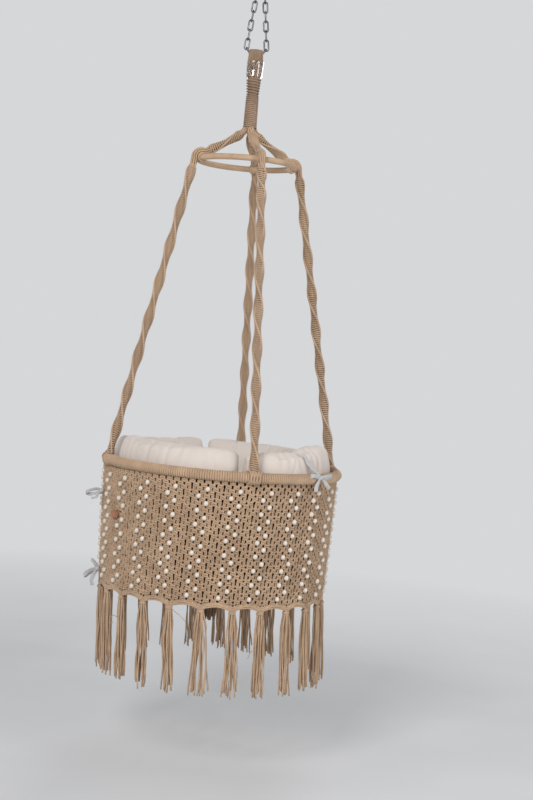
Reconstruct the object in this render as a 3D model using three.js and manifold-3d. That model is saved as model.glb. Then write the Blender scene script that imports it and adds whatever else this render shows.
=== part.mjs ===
// A round macrame baby cradle that hangs on a steel chain from a ceiling hook.
// Millimetres, +Z up, +X to the right, the front faces -Y.
// The origin is the middle of the ceiling plate's upper face.
import * as THREE from 'three';
import { mergeVertices } from 'three/addons/utils/BufferGeometryUtils.js';
import Module from 'manifold-3d';

const wasm = await Module();
wasm.setup();

// Gap between pieces that touch, and the overrun of every cut
const clearance = 0.3;
const overrun = 5;

// Ceiling plate and its J hook
const plateWidth = 70;
const plateThickness = 4;
const plateCornerRadius = 6;
const screwHoleDiameter = 5.5;
const screwSpacing = 50;
const hookWire = 8;
const hookRadius = 17;
const hookShank = 10;
const hookBendDrop = 31;
const hookTip = 8;

// Hanging ring
const ringWire = 5;
const ringRadius = 23;

// Chain
const linkWire = 4;
const linkInnerWidth = 6.5;
const linkInnerLength = 23.7;
const linksPerRun = 8;
const topLinkSpacing = 9;
const saddlePlay = 0.2;
const saddleSlope = THREE.MathUtils.degToRad(33.9);

// Rope eye, clear sleeve and neck
const archThickness = 14.2;
const archFootHalfWidth = 8.6;
const archTopHalfWidth = 15.6;
const archUndersideRadius = 30;
const tunnelHalfDepth = 11;
const tunnelDrop = 9.5;
const eyeRadius = 20.7;
const eyeTopRounding = 5;
const sleeveThickness = 0.9;
const sleeveLength = 40;
const sleeveFootRadius = 18.6;
const bindingCord = 4;
const bindingSpacing = 0.5;
const bindingTurns = 18;
const looseBindingTurns = 6;
const looseBindingPitch = 6.4;
const looseBindingTopRadius = 15.2;
const looseBindingFootRadius = 10.8;
const neckWaistRadius = 11.6;
const neckFootRadius = 13;

// Spreader ring and the four knotted strands
const neckToSpreader = 85;
const spreaderRadius = 120;
const spreaderTube = 15;
const strandWidth = 26;
const strandWaist = 14;
const strandHalfTurn = 94;
const strandTopDiameter = 9.6;
const strandTopRadius = 10.4;
const strandStub = 3;
const strandBendShares = { start: 0.66, end: -0.07 };
const strandAngles = { front: 16, right: 106, rear: 171, left: 290 };
const hitchWall = 4.5;
const hitchFit = 1.2;
const hitchMouth = THREE.MathUtils.degToRad(80);
const spreaderHitchLength = 24;
const rimHitchLength = 32;

// Rim hoop with its cord wrap
const spreaderToRim = 760;
const rimRadius = 292;
const rimTube = 26;
const caneDiameter = 18;
const bareCaneLength = 92;
const bareCaneAngle = 270;

// Basket
const rimToHem = 306;
const wallThickness = 9;
const wallTaper = 10;
const baseHoopDiameter = 12;
const baseHoopRise = 26;
const netThickness = 6;
const netSag = 38;
const tuftLength = 76;
const tuftDiameter = 44;
const tuftShares = [
  { drop: 0, spread: 0.45 },
  { drop: 0.2, spread: 0.36 },
  { drop: 0.45, spread: 0.85 },
  { drop: 1, spread: 1 },
];

// Hem and its tassels
const tasselCount = 24;
const tasselAngle = -3.6;
const tasselLength = 208;
const tasselNeck = 13;
const tasselSkirt = 34;
const tasselFlutes = 4;
const tasselFluteShare = 0.78;
const tasselShares = [
  { drop: 0, spread: 0 },
  { drop: 0.1, spread: 0 },
  { drop: 0.2, spread: 0.65 },
  { drop: 0.55, spread: 1 },
  { drop: 1, spread: 1 },
];
const hemHeight = 14;
const hemArchShare = 0.4;
const hemTuck = 2;

// Mattress and bumper cushions
const mattressThickness = 58;
const mattressRounding = 16;
const mattressEdgeGap = 3;
const mattressCrown = 8;
const mattressFlatShare = 0.7;
const mattressCrownShares = { reach: 0.45, rise: 0.8 };
const bumperCount = 4;
const bumperAngle = -33;
const bumperRise = 72;
const bumperThickness = 74;
const bumperEndGap = 6;
const bumperHitchGap = 0.6;
const bumperEndShares = [0.62, 0.86, 0.97, 1, 1, 1, 0.97, 0.86, 0.62];
const bumperEndHeightShare = 0.8;
const bumperSquareShare = 0.62;

// Wooden button and tie ribbons
const buttonWidth = 36;
const buttonHeight = 19;
const buttonThickness = 5;
const buttonDrop = 125;
const buttonAngle = -56;
const ribbonWidth = 8;
const ribbonThickness = 1.6;
const bowLoopWidth = 30;
const bowLoopHeight = 20;
const bowTailLength = 34;
const bowTailSpread = 20;
const rightTieShare = 7 / 18;
const leftTieAngle = 286;
const upperTieDrop = 74;
const lowerTieDrop = 268;

// Facets
const wireSides = 6;
const linkEndSteps = 4;
const neckSides = 16;
const bindingSteps = 10;
const bindingSides = 5;
const strandSides = 6;
const strandTopSteps = 6;
const strandBendSteps = 5;
const strandSteps = 27;
const rimSteps = 36;
const basketSteps = 48;
const hoopSides = 8;
const ringSteps = 24;
const spreaderSteps = 32;
const hookBendSteps = 5;
const hookArcSteps = 8;
const scallopSteps = 4;
const tuftSides = 12;
const bumperSides = 12;
const buttonSides = 16;
const holeSteps = 4;
const hitchSteps = 7;
const bowSteps = 5;

// Heights worked out from the sizes above
const linkEndRadius = (linkInnerWidth + linkWire) / 2;
const linkArcSpan = linkInnerLength + linkWire - 2 * linkEndRadius;
const linkWireSpan = linkInnerLength + linkWire;
const linkNest = linkEndRadius - linkWire - clearance;
const saddleNest = linkNest - saddlePlay;
const hookCentreZ = -(plateThickness + hookShank + hookBendDrop);
const hookBottomZ = hookCentreZ - hookRadius;
const ringCentreZ = hookBottomZ + (hookWire + ringWire) / 2 + clearance - ringRadius;
const firstLinkRadius = ringRadius - (ringWire + linkWire) / 2 - clearance;
const firstLinkX = topLinkSpacing / 2;
const firstLinkZ = ringCentreZ - Math.sqrt(firstLinkRadius ** 2 - firstLinkX ** 2);
const saddleHalfSpan = linkArcSpan / 2;
const saddleReach = linkWireSpan + linkNest + saddleNest;
const runLength = (linksPerRun / 2) * (linkWireSpan + linkArcSpan + 2 * linkNest) - linkNest;
const runFootX = saddleHalfSpan + saddleReach * Math.sin(saddleSlope);
const runDrop = Math.sqrt(runLength ** 2 - (runFootX - firstLinkX) ** 2);
const runFootZ = firstLinkZ - runDrop;
const saddleZ = runFootZ - saddleReach * Math.cos(saddleSlope);
const archFootZ = saddleZ + linkEndRadius + linkWire / 2 + clearance;
const eyeTopZ = archFootZ + archThickness;
const sleeveTopZ = saddleZ - tunnelDrop - clearance;
const sleeveFootZ = sleeveTopZ - sleeveLength;
const looseTopZ = sleeveFootZ - bindingCord / 2 - clearance;
const looseFootZ = looseTopZ - looseBindingTurns * looseBindingPitch;
const bindingPitch = bindingCord + bindingSpacing;
const tightTopZ = looseFootZ - bindingPitch;
const tightFootZ = tightTopZ - bindingTurns * bindingPitch;
const neckFootZ = tightFootZ - bindingCord / 2;
const spreaderHitchBore = hitchBore(spreaderTube, spreaderHitchLength, spreaderRadius);
const rimHitchBore = hitchBore(rimTube, rimHitchLength, rimRadius);
const spreaderZ = neckFootZ - neckToSpreader;
const rimZ = spreaderZ - spreaderToRim;
const wallTopZ = rimZ - rimTube / 2 - clearance;
const hemZ = rimZ - rimToHem;
const hemTopZ = hemZ - clearance;
const baseHoopZ = hemZ + baseHoopRise;
const hemRadius = wallRadius(hemZ);
const baseHoopRadius = wallRadius(baseHoopZ) - (wallThickness + baseHoopDiameter) / 2 - clearance;
const netRadius = baseHoopRadius - baseHoopDiameter / 2 - clearance;
const netFootZ = baseHoopZ - netThickness / 2 - netSag;
const mattressRadius = netRadius - mattressEdgeGap;
const mattressTopZ = baseHoopZ + netThickness / 2 + clearance + mattressThickness;
const bumperFootZ = mattressTopZ + clearance;
const bumperTopZ = rimZ + bumperRise;
const bumperOuterRadius = rimRadius - rimHitchBore - hitchWall - bumperHitchGap;
const bumperRadius = bumperOuterRadius - bumperThickness / 2;

// Radius of the wall's middle at a height: it draws in a little towards its foot
function wallRadius(z) {
  return rimRadius - (wallTaper * (wallTopZ - z)) / (wallTopZ - hemZ);
}

// Radius that a straight sleeve needs inside to clear a hoop's tube along its bend
function hitchBore(tube, length, radius) {
  return tube / 2 + hitchFit + length ** 2 / (8 * radius);
}

const colours = {
  steel: 0x5c5d60,
  rope: 0xa8927c,
  cord: 0xb79c80,
  cane: 0xb0703c,
  cotton: 0xdcd2c6,
  ribbon: 0xc9c6c0,
  film: 0xe8ecee,
};

const V = (x, y, z) => new THREE.Vector3(x, y, z);
const lerp = THREE.MathUtils.lerp;

// A place on a circle round the Z axis; the angle runs from the front towards +X.
function around(radius, degrees, z) {
  const angle = THREE.MathUtils.degToRad(degrees);
  return V(radius * Math.sin(angle), -radius * Math.cos(angle), z);
}

function indexed(points, faces) {
  const geometry = new THREE.BufferGeometry();
  const values = points.flatMap((p) => [p.x, p.y, p.z]);
  geometry.setAttribute('position', new THREE.Float32BufferAttribute(values, 3));
  geometry.setIndex(faces);
  return facingOut(geometry);
}

// Turns the faces round where the geometry encloses a negative volume.
function facingOut(geometry) {
  const at = geometry.getAttribute('position');
  const index = Array.from(geometry.getIndex().array);
  const corner = (k) => new THREE.Vector3().fromBufferAttribute(at, index[k]);
  let volume = 0;
  for (let k = 0; k < index.length; k += 3) {
    volume += corner(k).dot(corner(k + 1).cross(corner(k + 2)));
  }
  if (volume < 0) {
    for (let k = 0; k < index.length; k += 3) {
      [index[k], index[k + 1]] = [index[k + 1], index[k]];
    }
    geometry.setIndex(index);
  }
  return geometry;
}

// A closed solid through rings of points; looped joins the last ring to the first.
function loft(rings, looped = false) {
  const sides = rings[0].length;
  const faces = [];
  const spans = looped ? rings.length : rings.length - 1;
  for (let i = 0; i < spans; i += 1) {
    const near = i * sides;
    const far = ((i + 1) % rings.length) * sides;
    for (let j = 0; j < sides; j += 1) {
      const k = (j + 1) % sides;
      faces.push(near + j, near + k, far + k, near + j, far + k, far + j);
    }
  }
  if (!looped) {
    const last = (rings.length - 1) * sides;
    for (let j = 1; j < sides - 1; j += 1) {
      faces.push(0, j + 1, j, last, last + j, last + j + 1);
    }
  }
  return indexed(rings.flat(), faces);
}

// Rings of a section carried along points without twist; first is the first ring's normal.
function sweep(points, section, first, looped = false) {
  const count = points.length;
  const tangents = points.map((p, i) => {
    const before = points[looped ? (i + count - 1) % count : Math.max(i - 1, 0)];
    const after = points[looped ? (i + 1) % count : Math.min(i + 1, count - 1)];
    return after.clone().sub(before).normalize();
  });
  const normal = first.clone();
  const rings = points.map((p, i) => {
    normal.addScaledVector(tangents[i], -normal.dot(tangents[i])).normalize();
    const side = tangents[i].clone().cross(normal);
    return section(i, i / (count - 1)).map(([a, b]) =>
      p.clone().addScaledVector(normal, a).addScaledVector(side, b));
  });
  return loft(rings, looped);
}

function circle(radius, sides) {
  return Array.from({ length: sides }, (_, k) => {
    const angle = (2 * Math.PI * k) / sides;
    return [radius * Math.cos(angle), radius * Math.sin(angle)];
  });
}

// A closed profile of [radius, z] points turned round the Z axis
function revolve(profile, steps) {
  const rings = Array.from({ length: steps }, (_, k) =>
    profile.map(([radius, z]) => around(radius, (360 * k) / steps, z)));
  return loft(rings, true);
}

// A profile of [radius, z] points that starts and ends on the Z axis
function turned(profile, steps) {
  const points = profile.map(([radius, z]) => new THREE.Vector2(radius, z));
  const geometry = new THREE.LatheGeometry(points, steps);
  geometry.rotateX(Math.PI / 2);
  return welded(geometry);
}

function welded(geometry) {
  geometry.deleteAttribute('normal');
  geometry.deleteAttribute('uv');
  const merged = mergeVertices(geometry);
  const index = Array.from(merged.getIndex().array);
  const kept = [];
  for (let k = 0; k < index.length; k += 3) {
    const [a, b, c] = index.slice(k, k + 3);
    if (a !== b && b !== c && c !== a) {
      kept.push(a, b, c);
    }
  }
  merged.setIndex(kept);
  return facingOut(merged);
}

function solid(geometry) {
  const vertProperties = new Float32Array(geometry.getAttribute('position').array);
  const triVerts = new Uint32Array(geometry.getIndex().array);
  return new wasm.Manifold(new wasm.Mesh({ numProp: 3, vertProperties, triVerts }));
}

function geometryOf(manifold) {
  const mesh = manifold.getMesh();
  const geometry = new THREE.BufferGeometry();
  geometry.setAttribute('position', new THREE.BufferAttribute(mesh.vertProperties, 3));
  geometry.setIndex(new THREE.BufferAttribute(mesh.triVerts, 1));
  return geometry;
}

function joined(geometries) {
  return geometryOf(geometries.map(solid).reduce((sum, next) => sum.add(next)));
}

function material(colour, roughness, metalness = 0) {
  return new THREE.MeshStandardMaterial({ color: colour, roughness, metalness });
}

const materials = {
  steel: material(colours.steel, 0.35, 1),
  rope: material(colours.rope, 0.9),
  cord: material(colours.cord, 0.9),
  cane: material(colours.cane, 0.5),
  cotton: material(colours.cotton, 0.95),
  ribbon: material(colours.ribbon, 0.8),
  film: material(colours.film, 0.1),
};

const cradle = new THREE.Group();

function addPiece(name, geometry, look) {
  const mesh = new THREE.Mesh(geometry, look);
  mesh.name = name;
  cradle.add(mesh);
  return mesh;
}

// Ceiling plate with its hook: the wire leaves the plate, bends back and turns up at the front.
function plateGeometry() {
  const half = plateWidth / 2;
  const inner = half - plateCornerRadius;
  const outline = new THREE.Shape();
  outline.absarc(inner, inner, plateCornerRadius, 0, Math.PI / 2);
  outline.absarc(-inner, inner, plateCornerRadius, Math.PI / 2, Math.PI);
  outline.absarc(-inner, -inner, plateCornerRadius, Math.PI, 1.5 * Math.PI);
  outline.absarc(inner, -inner, plateCornerRadius, 1.5 * Math.PI, 2 * Math.PI);
  for (const [x, y] of [[1, 1], [-1, 1], [-1, -1], [1, -1]]) {
    const hole = new THREE.Path();
    const place = screwSpacing / 2;
    hole.absarc(x * place, y * place, screwHoleDiameter / 2, 0, 2 * Math.PI, true);
    outline.holes.push(hole);
  }
  const options = { depth: plateThickness, bevelEnabled: false, curveSegments: holeSteps };
  const geometry = new THREE.ExtrudeGeometry(outline, options);
  geometry.translate(0, 0, -plateThickness);
  return welded(geometry);
}

function hookGeometry() {
  const points = [V(0, 0, -plateThickness / 2), V(0, 0, -plateThickness - hookShank)];
  for (let k = 1; k < hookBendSteps; k += 1) {
    const share = k / hookBendSteps;
    const y = (hookRadius * (1 - Math.cos(Math.PI * share))) / 2;
    points.push(V(0, y, -plateThickness - hookShank - hookBendDrop * share));
  }
  for (let k = 0; k <= hookArcSteps; k += 1) {
    const angle = (Math.PI * k) / hookArcSteps;
    const y = hookRadius * Math.cos(angle);
    points.push(V(0, y, hookCentreZ - hookRadius * Math.sin(angle)));
  }
  points.push(V(0, -hookRadius, hookCentreZ + hookTip));
  const wire = sweep(points, () => circle(hookWire / 2, hoopSides), V(1, 0, 0));
  return joined([plateGeometry(), wire]);
}

addPiece('ceiling_hook', hookGeometry(), materials.steel);

function hoop(radius, tubeRadius, z, steps, sides) {
  const points = Array.from({ length: steps }, (_, k) => around(radius, (360 * k) / steps, z));
  return sweep(points, () => circle(tubeRadius, sides), around(1, 0, 0), true);
}

const ring = addPiece('hanging_ring', hoop(ringRadius, ringWire / 2, 0, ringSteps, hoopSides),
  materials.steel);
ring.rotation.x = Math.PI / 2;
ring.position.z = ringCentreZ;

// One chain link, lying in the XZ plane with its length along Z
function linkGeometry() {
  const points = [];
  for (const end of [1, -1]) {
    for (let k = 0; k <= linkEndSteps; k += 1) {
      const angle = (Math.PI * k) / linkEndSteps;
      const x = end * linkEndRadius * Math.cos(angle);
      points.push(V(x, 0, end * (linkArcSpan / 2 + linkEndRadius * Math.sin(angle))));
    }
  }
  return sweep(points, () => circle(linkWire / 2, wireSides), V(-1, 0, 0), true);
}

const link = linkGeometry();

// Places a link by its middle; lean turns its length from Z towards X, crossed turns it flat to the side.
function placeLink(name, x, z, lean, crossed) {
  const mesh = addPiece(name, link, materials.steel);
  mesh.position.set(x, 0, z);
  mesh.rotation.set(0, lean, crossed ? Math.PI / 2 : 0);
}

// One run of the chain: crossed links hang on the ring and on the flat links between them.
function placeRun(side, sign) {
  const lean = Math.atan2(runFootX - firstLinkX, runDrop);
  let travelled = 0;
  for (let k = 1; k <= linksPerRun; k += 1) {
    const crossed = k % 2 === 1;
    const span = crossed ? linkWireSpan : linkArcSpan;
    const middle = travelled + span / 2;
    const x = sign * (firstLinkX + middle * Math.sin(lean));
    const z = firstLinkZ - middle * Math.cos(lean);
    placeLink(`chain_${side}_${k}`, x, z, -sign * lean, crossed);
    travelled += span + linkNest;
  }
  const reach = saddleNest + linkWireSpan / 2;
  const x = sign * (saddleHalfSpan + reach * Math.sin(saddleSlope));
  const z = saddleZ + reach * Math.cos(saddleSlope);
  placeLink(`saddle_${side}`, x, z, sign * saddleSlope, true);
}

placeRun('left', -1);
placeRun('right', 1);
placeLink('saddle_middle', 0, saddleZ, Math.PI / 2, false);

// Radius of the rope core at a height, down the neck
function coreRings() {
  return [
    [eyeTopZ, eyeRadius - eyeTopRounding],
    [eyeTopZ - eyeTopRounding, eyeRadius],
    [sleeveTopZ, eyeRadius],
    [sleeveFootZ, sleeveFootRadius],
    [looseTopZ + bindingCord / 2, looseBindingTopRadius],
    [looseFootZ, looseBindingFootRadius],
    [tightTopZ, neckWaistRadius],
    [neckFootZ, neckFootRadius],
  ];
}

// The space that the chain takes in the eye: a tunnel under the arch and a slot up each flank of it
function chainSpace() {
  const reach = eyeRadius + overrun;
  const top = eyeTopZ + overrun;
  const footZ = archFootZ;
  const slope = (archTopHalfWidth - archFootHalfWidth) / archThickness;
  const outerTop = archTopHalfWidth + slope * overrun;
  const underside = (x) => footZ + archUndersideRadius - Math.sqrt(archUndersideRadius ** 2 - x ** 2);
  const outline = new THREE.Shape();
  outline.moveTo(-reach, saddleZ - tunnelDrop);
  outline.lineTo(reach, saddleZ - tunnelDrop);
  outline.lineTo(reach, top);
  outline.lineTo(outerTop, top);
  for (const share of [1, 0.5, 0, -0.5, -1]) {
    const x = share * archFootHalfWidth;
    outline.lineTo(x, underside(x));
  }
  outline.lineTo(-outerTop, top);
  outline.lineTo(-reach, top);
  const options = { depth: 2 * tunnelHalfDepth, bevelEnabled: false };
  const geometry = new THREE.ExtrudeGeometry(outline, options);
  geometry.translate(0, 0, -tunnelHalfDepth);
  geometry.rotateX(Math.PI / 2);
  return welded(geometry);
}

function eyeGeometry() {
  const rings = coreRings().map(([z, radius]) =>
    circle(radius, neckSides).map(([x, y]) => V(x, y, z)));
  return geometryOf(solid(loft(rings)).subtract(solid(chainSpace())));
}

addPiece('rope_eye', eyeGeometry(), materials.rope);

function sleeveGeometry() {
  const inner = eyeRadius + clearance;
  const innerFoot = sleeveFootRadius + clearance;
  const profile = [
    [inner, sleeveTopZ],
    [inner + sleeveThickness, sleeveTopZ],
    [innerFoot + sleeveThickness, sleeveFootZ],
    [innerFoot, sleeveFootZ],
  ];
  return revolve(profile, neckSides);
}

addPiece('clear_sleeve', sleeveGeometry(), materials.film);

// A cord wound down a tapered core, its two ends run straight for one diameter.
function windingPoints(topZ, footZ, topRadius, footRadius, turns) {
  const steps = turns * bindingSteps;
  const stand = clearance + bindingCord / 2;
  const chord = Math.cos(Math.PI / bindingSteps);
  const points = [];
  for (let k = 0; k <= steps; k += 1) {
    const share = k / steps;
    const radius = (lerp(topRadius, footRadius, share) + stand) / chord;
    points.push(around(radius, (360 * k) / bindingSteps, lerp(topZ, footZ, share)));
  }
  const start = points[0].clone().sub(points[1]).setLength(bindingCord).add(points[0]);
  const [before, last] = points.slice(-2);
  const end = last.clone().sub(before).setLength(bindingCord).add(last);
  return [start, ...points, end];
}

// Least gap between the turns of a winding, measured between points a turn apart and more
function leastGap(points) {
  let least = Infinity;
  for (let i = 0; i < points.length; i += 1) {
    for (let j = i + bindingSteps / 2; j < points.length; j += 1) {
      least = Math.min(least, points[i].distanceTo(points[j]));
    }
  }
  return least - bindingCord;
}

function addWinding(name, topZ, footZ, topRadius, footRadius, turns) {
  const points = windingPoints(topZ, footZ, topRadius, footRadius, turns);
  const section = () => circle(bindingCord / 2, bindingSides);
  addPiece(name, sweep(points, section, V(0, 0, 1)), materials.cord);
  console.log(`${name}: least gap to itself ${leastGap(points).toFixed(2)} mm`);
}

addWinding('upper_binding', looseTopZ, looseFootZ, looseBindingTopRadius, looseBindingFootRadius,
  looseBindingTurns);
addWinding('lower_binding', tightTopZ, tightFootZ, neckWaistRadius, neckFootRadius, bindingTurns);

addPiece('spreader_ring', hoop(spreaderRadius, spreaderTube / 2, spreaderZ, spreaderSteps, hoopSides),
  materials.cord);

// Route of a strand: out from the neck, round the hitch on the spreader ring, and down to the rim's hitch
function strandPoints(degrees) {
  const place = (radius, z) => around(radius, degrees, z);
  const stand = spreaderHitchBore + hitchWall + 2 * clearance + strandWaist / 2;
  const bend = Array.from({ length: strandBendSteps + 1 }, (_, k) => {
    const angle = lerp(strandBendShares.start, strandBendShares.end, k / strandBendSteps) * Math.PI;
    return place(spreaderRadius + stand * Math.cos(angle), spreaderZ + stand * Math.sin(angle));
  });
  const topZ = neckFootZ - clearance;
  const neckEnd = place(strandTopRadius, topZ);
  const start = place(strandTopRadius, topZ - strandStub);
  const control = place(strandTopRadius, topZ - strandStub - strandTopDiameter);
  const top = new THREE.QuadraticBezierCurve3(start, control, bend[0]).getPoints(strandTopSteps);
  const rimTopZ = rimZ + rimHitchBore + hitchWall + clearance;
  const foot = place(rimRadius, rimTopZ + strandStub);
  const rimEnd = place(rimRadius, rimTopZ);
  const fall = new THREE.LineCurve3(bend.at(-1), foot).getPoints(strandSteps);
  return [neckEnd, ...top, ...bend.slice(1), ...fall.slice(1), rimEnd];
}

// The strand's flat section turns as it goes down; it is round at both ends and at the spreader ring.
function strandGeometry(degrees) {
  const points = strandPoints(degrees);
  const spreader = around(spreaderRadius, degrees, spreaderZ);
  const bendReach = spreaderHitchBore + hitchWall + strandWaist;
  const lengths = [0];
  points.slice(1).forEach((p, k) => lengths.push(lengths[k] + p.distanceTo(points[k])));
  const total = lengths.at(-1);
  return sweep(points, (i) => {
    const twist = (-Math.PI * lengths[i]) / strandHalfTurn;
    const fromEnd = Math.min(lengths[i], total - lengths[i]) / strandWidth;
    const fromRing = (points[i].distanceTo(spreader) - bendReach) / strandWidth;
    const openness = THREE.MathUtils.clamp(Math.min(fromEnd, fromRing), 0, 1);
    const roundSize = lengths[i] < strandWidth ? strandTopDiameter : strandWaist;
    const half = lerp(roundSize, strandWidth, openness) / 2;
    const flat = lerp(roundSize, strandWaist, openness) / 2;
    return circle(1, strandSides).map(([a, b]) => {
      const x = a * half;
      const y = b * flat;
      return [x * Math.cos(twist) - y * Math.sin(twist), x * Math.sin(twist) + y * Math.cos(twist)];
    });
  }, around(1, degrees, 0));
}

// A short C-shaped cord sleeve that grips a hoop; open below by the angle mouth
function hitchGeometry(inner, length, mouth) {
  const outer = inner + hitchWall;
  const start = -Math.PI / 2 + mouth / 2;
  const end = 1.5 * Math.PI - mouth / 2;
  const outline = new THREE.Shape();
  outline.absarc(0, 0, outer, start, end, false);
  outline.absarc(0, 0, inner, end, start, true);
  const options = { depth: length, bevelEnabled: false, curveSegments: hitchSteps };
  const geometry = new THREE.ExtrudeGeometry(outline, options);
  geometry.translate(0, 0, -length / 2);
  geometry.rotateX(Math.PI / 2);
  geometry.rotateZ(Math.PI / 2);
  return welded(geometry);
}

function addHitch(name, geometry, radius, degrees, z) {
  const mesh = addPiece(name, geometry, materials.cord);
  mesh.position.copy(around(radius, degrees, z));
  mesh.rotation.z = THREE.MathUtils.degToRad(degrees);
}

const spreaderHitch = hitchGeometry(spreaderHitchBore, spreaderHitchLength, hitchMouth);
const rimHitch = hitchGeometry(rimHitchBore, rimHitchLength, hitchMouth);

for (const [place, degrees] of Object.entries(strandAngles)) {
  addPiece(`strand_${place}`, strandGeometry(degrees), materials.cord);
  addHitch(`spreader_hitch_${place}`, spreaderHitch, spreaderRadius, degrees, spreaderZ);
  addHitch(`rim_hitch_${place}`, rimHitch, rimRadius, degrees, rimZ);
}

// Rim: a bent cane hoop in a tight cord wrap that leaves the cane bare at the left
addPiece('rim_hoop', hoop(rimRadius, caneDiameter / 2, rimZ, rimSteps, hoopSides), materials.cane);

// Angle of one of the wrap's facet edges, counted from where the wrap starts
function wrapDegrees(k) {
  const bareDegrees = THREE.MathUtils.radToDeg(bareCaneLength / rimRadius);
  const start = bareCaneAngle + bareDegrees / 2;
  return start + ((360 - bareDegrees) * k) / rimSteps;
}

function rimWrapGeometry() {
  const ringAt = (k, tube) =>
    circle(tube, hoopSides).map(([out, up]) => around(rimRadius + out, wrapDegrees(k), rimZ + up));
  const steps = Array.from({ length: rimSteps + 1 }, (_, k) => k);
  const outer = steps.map((k) => ringAt(k, rimTube / 2));
  const chordDepth = rimRadius * (1 - Math.cos(Math.PI / rimSteps));
  const boreRadius = caneDiameter / 2 + clearance + chordDepth;
  const bore = steps.map((k) => ringAt(k, boreRadius));
  return loft([...outer, ...bore.reverse()], true);
}

addPiece('rim_wrap', rimWrapGeometry(), materials.cord);

// Basket wall, the hoop inside its foot, and the sagging net that closes the bottom
function wallGeometry() {
  const half = wallThickness / 2;
  const profile = [
    [rimRadius - half, wallTopZ],
    [rimRadius + half, wallTopZ],
    [hemRadius + half, hemZ],
    [hemRadius - half, hemZ],
  ];
  return revolve(profile, basketSteps);
}

addPiece('basket_wall', wallGeometry(), materials.cord);
addPiece('base_hoop', hoop(baseHoopRadius, baseHoopDiameter / 2, baseHoopZ, basketSteps, wireSides),
  materials.cane);

const netShares = [0, 0.4, 0.75, 1];

// Height of the net's upper face at a share of its radius
function netTop(share) {
  return baseHoopZ + netThickness / 2 - netSag * (1 - share ** 2);
}

function netGeometry() {
  const upper = netShares.map((share) => [netRadius * share, netTop(share)]);
  const lower = upper.map(([radius, z]) => [radius, z - netThickness]).reverse();
  return turned([...upper, ...lower], basketSteps);
}

addPiece('base_net', netGeometry(), materials.cord);

function tuftGeometry() {
  const topZ = netFootZ - clearance;
  const outline = tuftShares.map(({ drop, spread }) =>
    [(tuftDiameter / 2) * spread, topZ - tuftLength * drop]);
  return turned([[0, topZ], ...outline, [0, topZ - tuftLength]], tuftSides);
}

addPiece('centre_tuft', tuftGeometry(), materials.rope);

// Angle of a tassel, counted from the one nearest the front
function tasselDegrees(number) {
  return tasselAngle + (360 * number) / tasselCount;
}

// One tassel: a tied neck under the hem's lowest point and a fluted skirt of cords
function tasselGeometry(degrees) {
  const topZ = hemTopZ - hemHeight + hemTuck;
  const centre = around(hemRadius, degrees, 0);
  const rings = tasselShares.map(({ drop, spread }) =>
    circle(lerp(tasselNeck, tasselSkirt, spread) / 2, 2 * tasselFlutes).map(([x, y], k) => {
      const reach = k % 2 ? tasselFluteShare : 1;
      return V(centre.x + x * reach, centre.y + y * reach, topZ - tasselLength * drop);
    }));
  return loft(rings);
}

// A stretch of the hem band, from the middle of one arch to another; the band is lowest at each tassel.
function hemGeometry(firstTassel, tassels) {
  const steps = tassels * scallopSteps;
  const outerRadius = hemRadius + wallThickness / 2;
  const innerRadius = hemRadius - wallThickness / 2;
  const gapDegrees = THREE.MathUtils.radToDeg(clearance / innerRadius);
  const rings = Array.from({ length: steps + 1 }, (_, k) => {
    const away = Math.abs(Math.cos((Math.PI * k) / scallopSteps));
    const footZ = hemTopZ - hemHeight * lerp(1, hemArchShare, away);
    const edge = (k === 0) - (k === steps);
    const degrees = tasselDegrees(firstTassel - 0.5 + k / scallopSteps) + (edge * gapDegrees) / 2;
    const profile = [[innerRadius, hemTopZ], [outerRadius, hemTopZ], [outerRadius, footZ],
      [innerRadius, footZ]];
    return profile.map(([radius, z]) => around(radius, degrees, z));
  });
  return loft(rings);
}

// The fringe is made in four lengths, each with its own tassels.
const fringeNames = ['front', 'right', 'rear', 'left'];
const tasselsPerFringe = tasselCount / fringeNames.length;
fringeNames.forEach((place, part) => {
  const first = part * tasselsPerFringe - Math.floor((tasselsPerFringe - 1) / 2);
  const tassels = Array.from({ length: tasselsPerFringe }, (_, k) =>
    tasselGeometry(tasselDegrees(first + k)));
  const geometry = joined([hemGeometry(first, tasselsPerFringe), ...tassels]);
  addPiece(`fringe_${place}`, geometry, materials.cord);
});

// Mattress: flat where it carries the bumpers, crowned in the middle, its underside on the net
function mattressGeometry() {
  const shares = netShares.map((share) => share * (mattressRadius / netRadius));
  const underside = shares.map((share) => [netRadius * share, netTop(share) + clearance]);
  const edgeZ = mattressTopZ - mattressRounding;
  const bevel = mattressRounding * (1 - Math.SQRT1_2);
  const crown = mattressCrownShares;
  return turned([
    ...underside.slice(0, -1),
    [mattressRadius - mattressRounding / 2, netTop(1) + clearance],
    [mattressRadius, lerp(netTop(1), edgeZ, 0.5)],
    [mattressRadius, edgeZ],
    [mattressRadius - bevel, mattressTopZ - bevel],
    [mattressRadius - mattressRounding, mattressTopZ],
    [mattressRadius * mattressFlatShare, mattressTopZ],
    [mattressRadius * crown.reach, mattressTopZ + mattressCrown * crown.rise],
    [0, mattressTopZ + mattressCrown],
  ], basketSteps / 2);
}

addPiece('mattress', mattressGeometry(), materials.cotton);

// Pushes a coordinate of a unit circle out towards the square round it
function squared(value) {
  return Math.sign(value) * Math.abs(value) ** bumperSquareShare;
}

// One bumper section: a stuffed pad along the wall, drawn in at its two ends
function bumperGeometry(start, end) {
  const height = bumperTopZ - bumperFootZ;
  const last = bumperEndShares.length - 1;
  const rings = bumperEndShares.map((share, k) => {
    const degrees = lerp(start, end, k / last);
    return circle(1, bumperSides).map(([out, up]) => {
      const x = (bumperThickness / 2) * share * squared(out);
      const rise = ((squared(up) + 1) / 2) * lerp(bumperEndHeightShare, 1, share);
      return around(bumperRadius + x, degrees, bumperFootZ + height * rise);
    });
  });
  return loft(rings);
}

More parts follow.
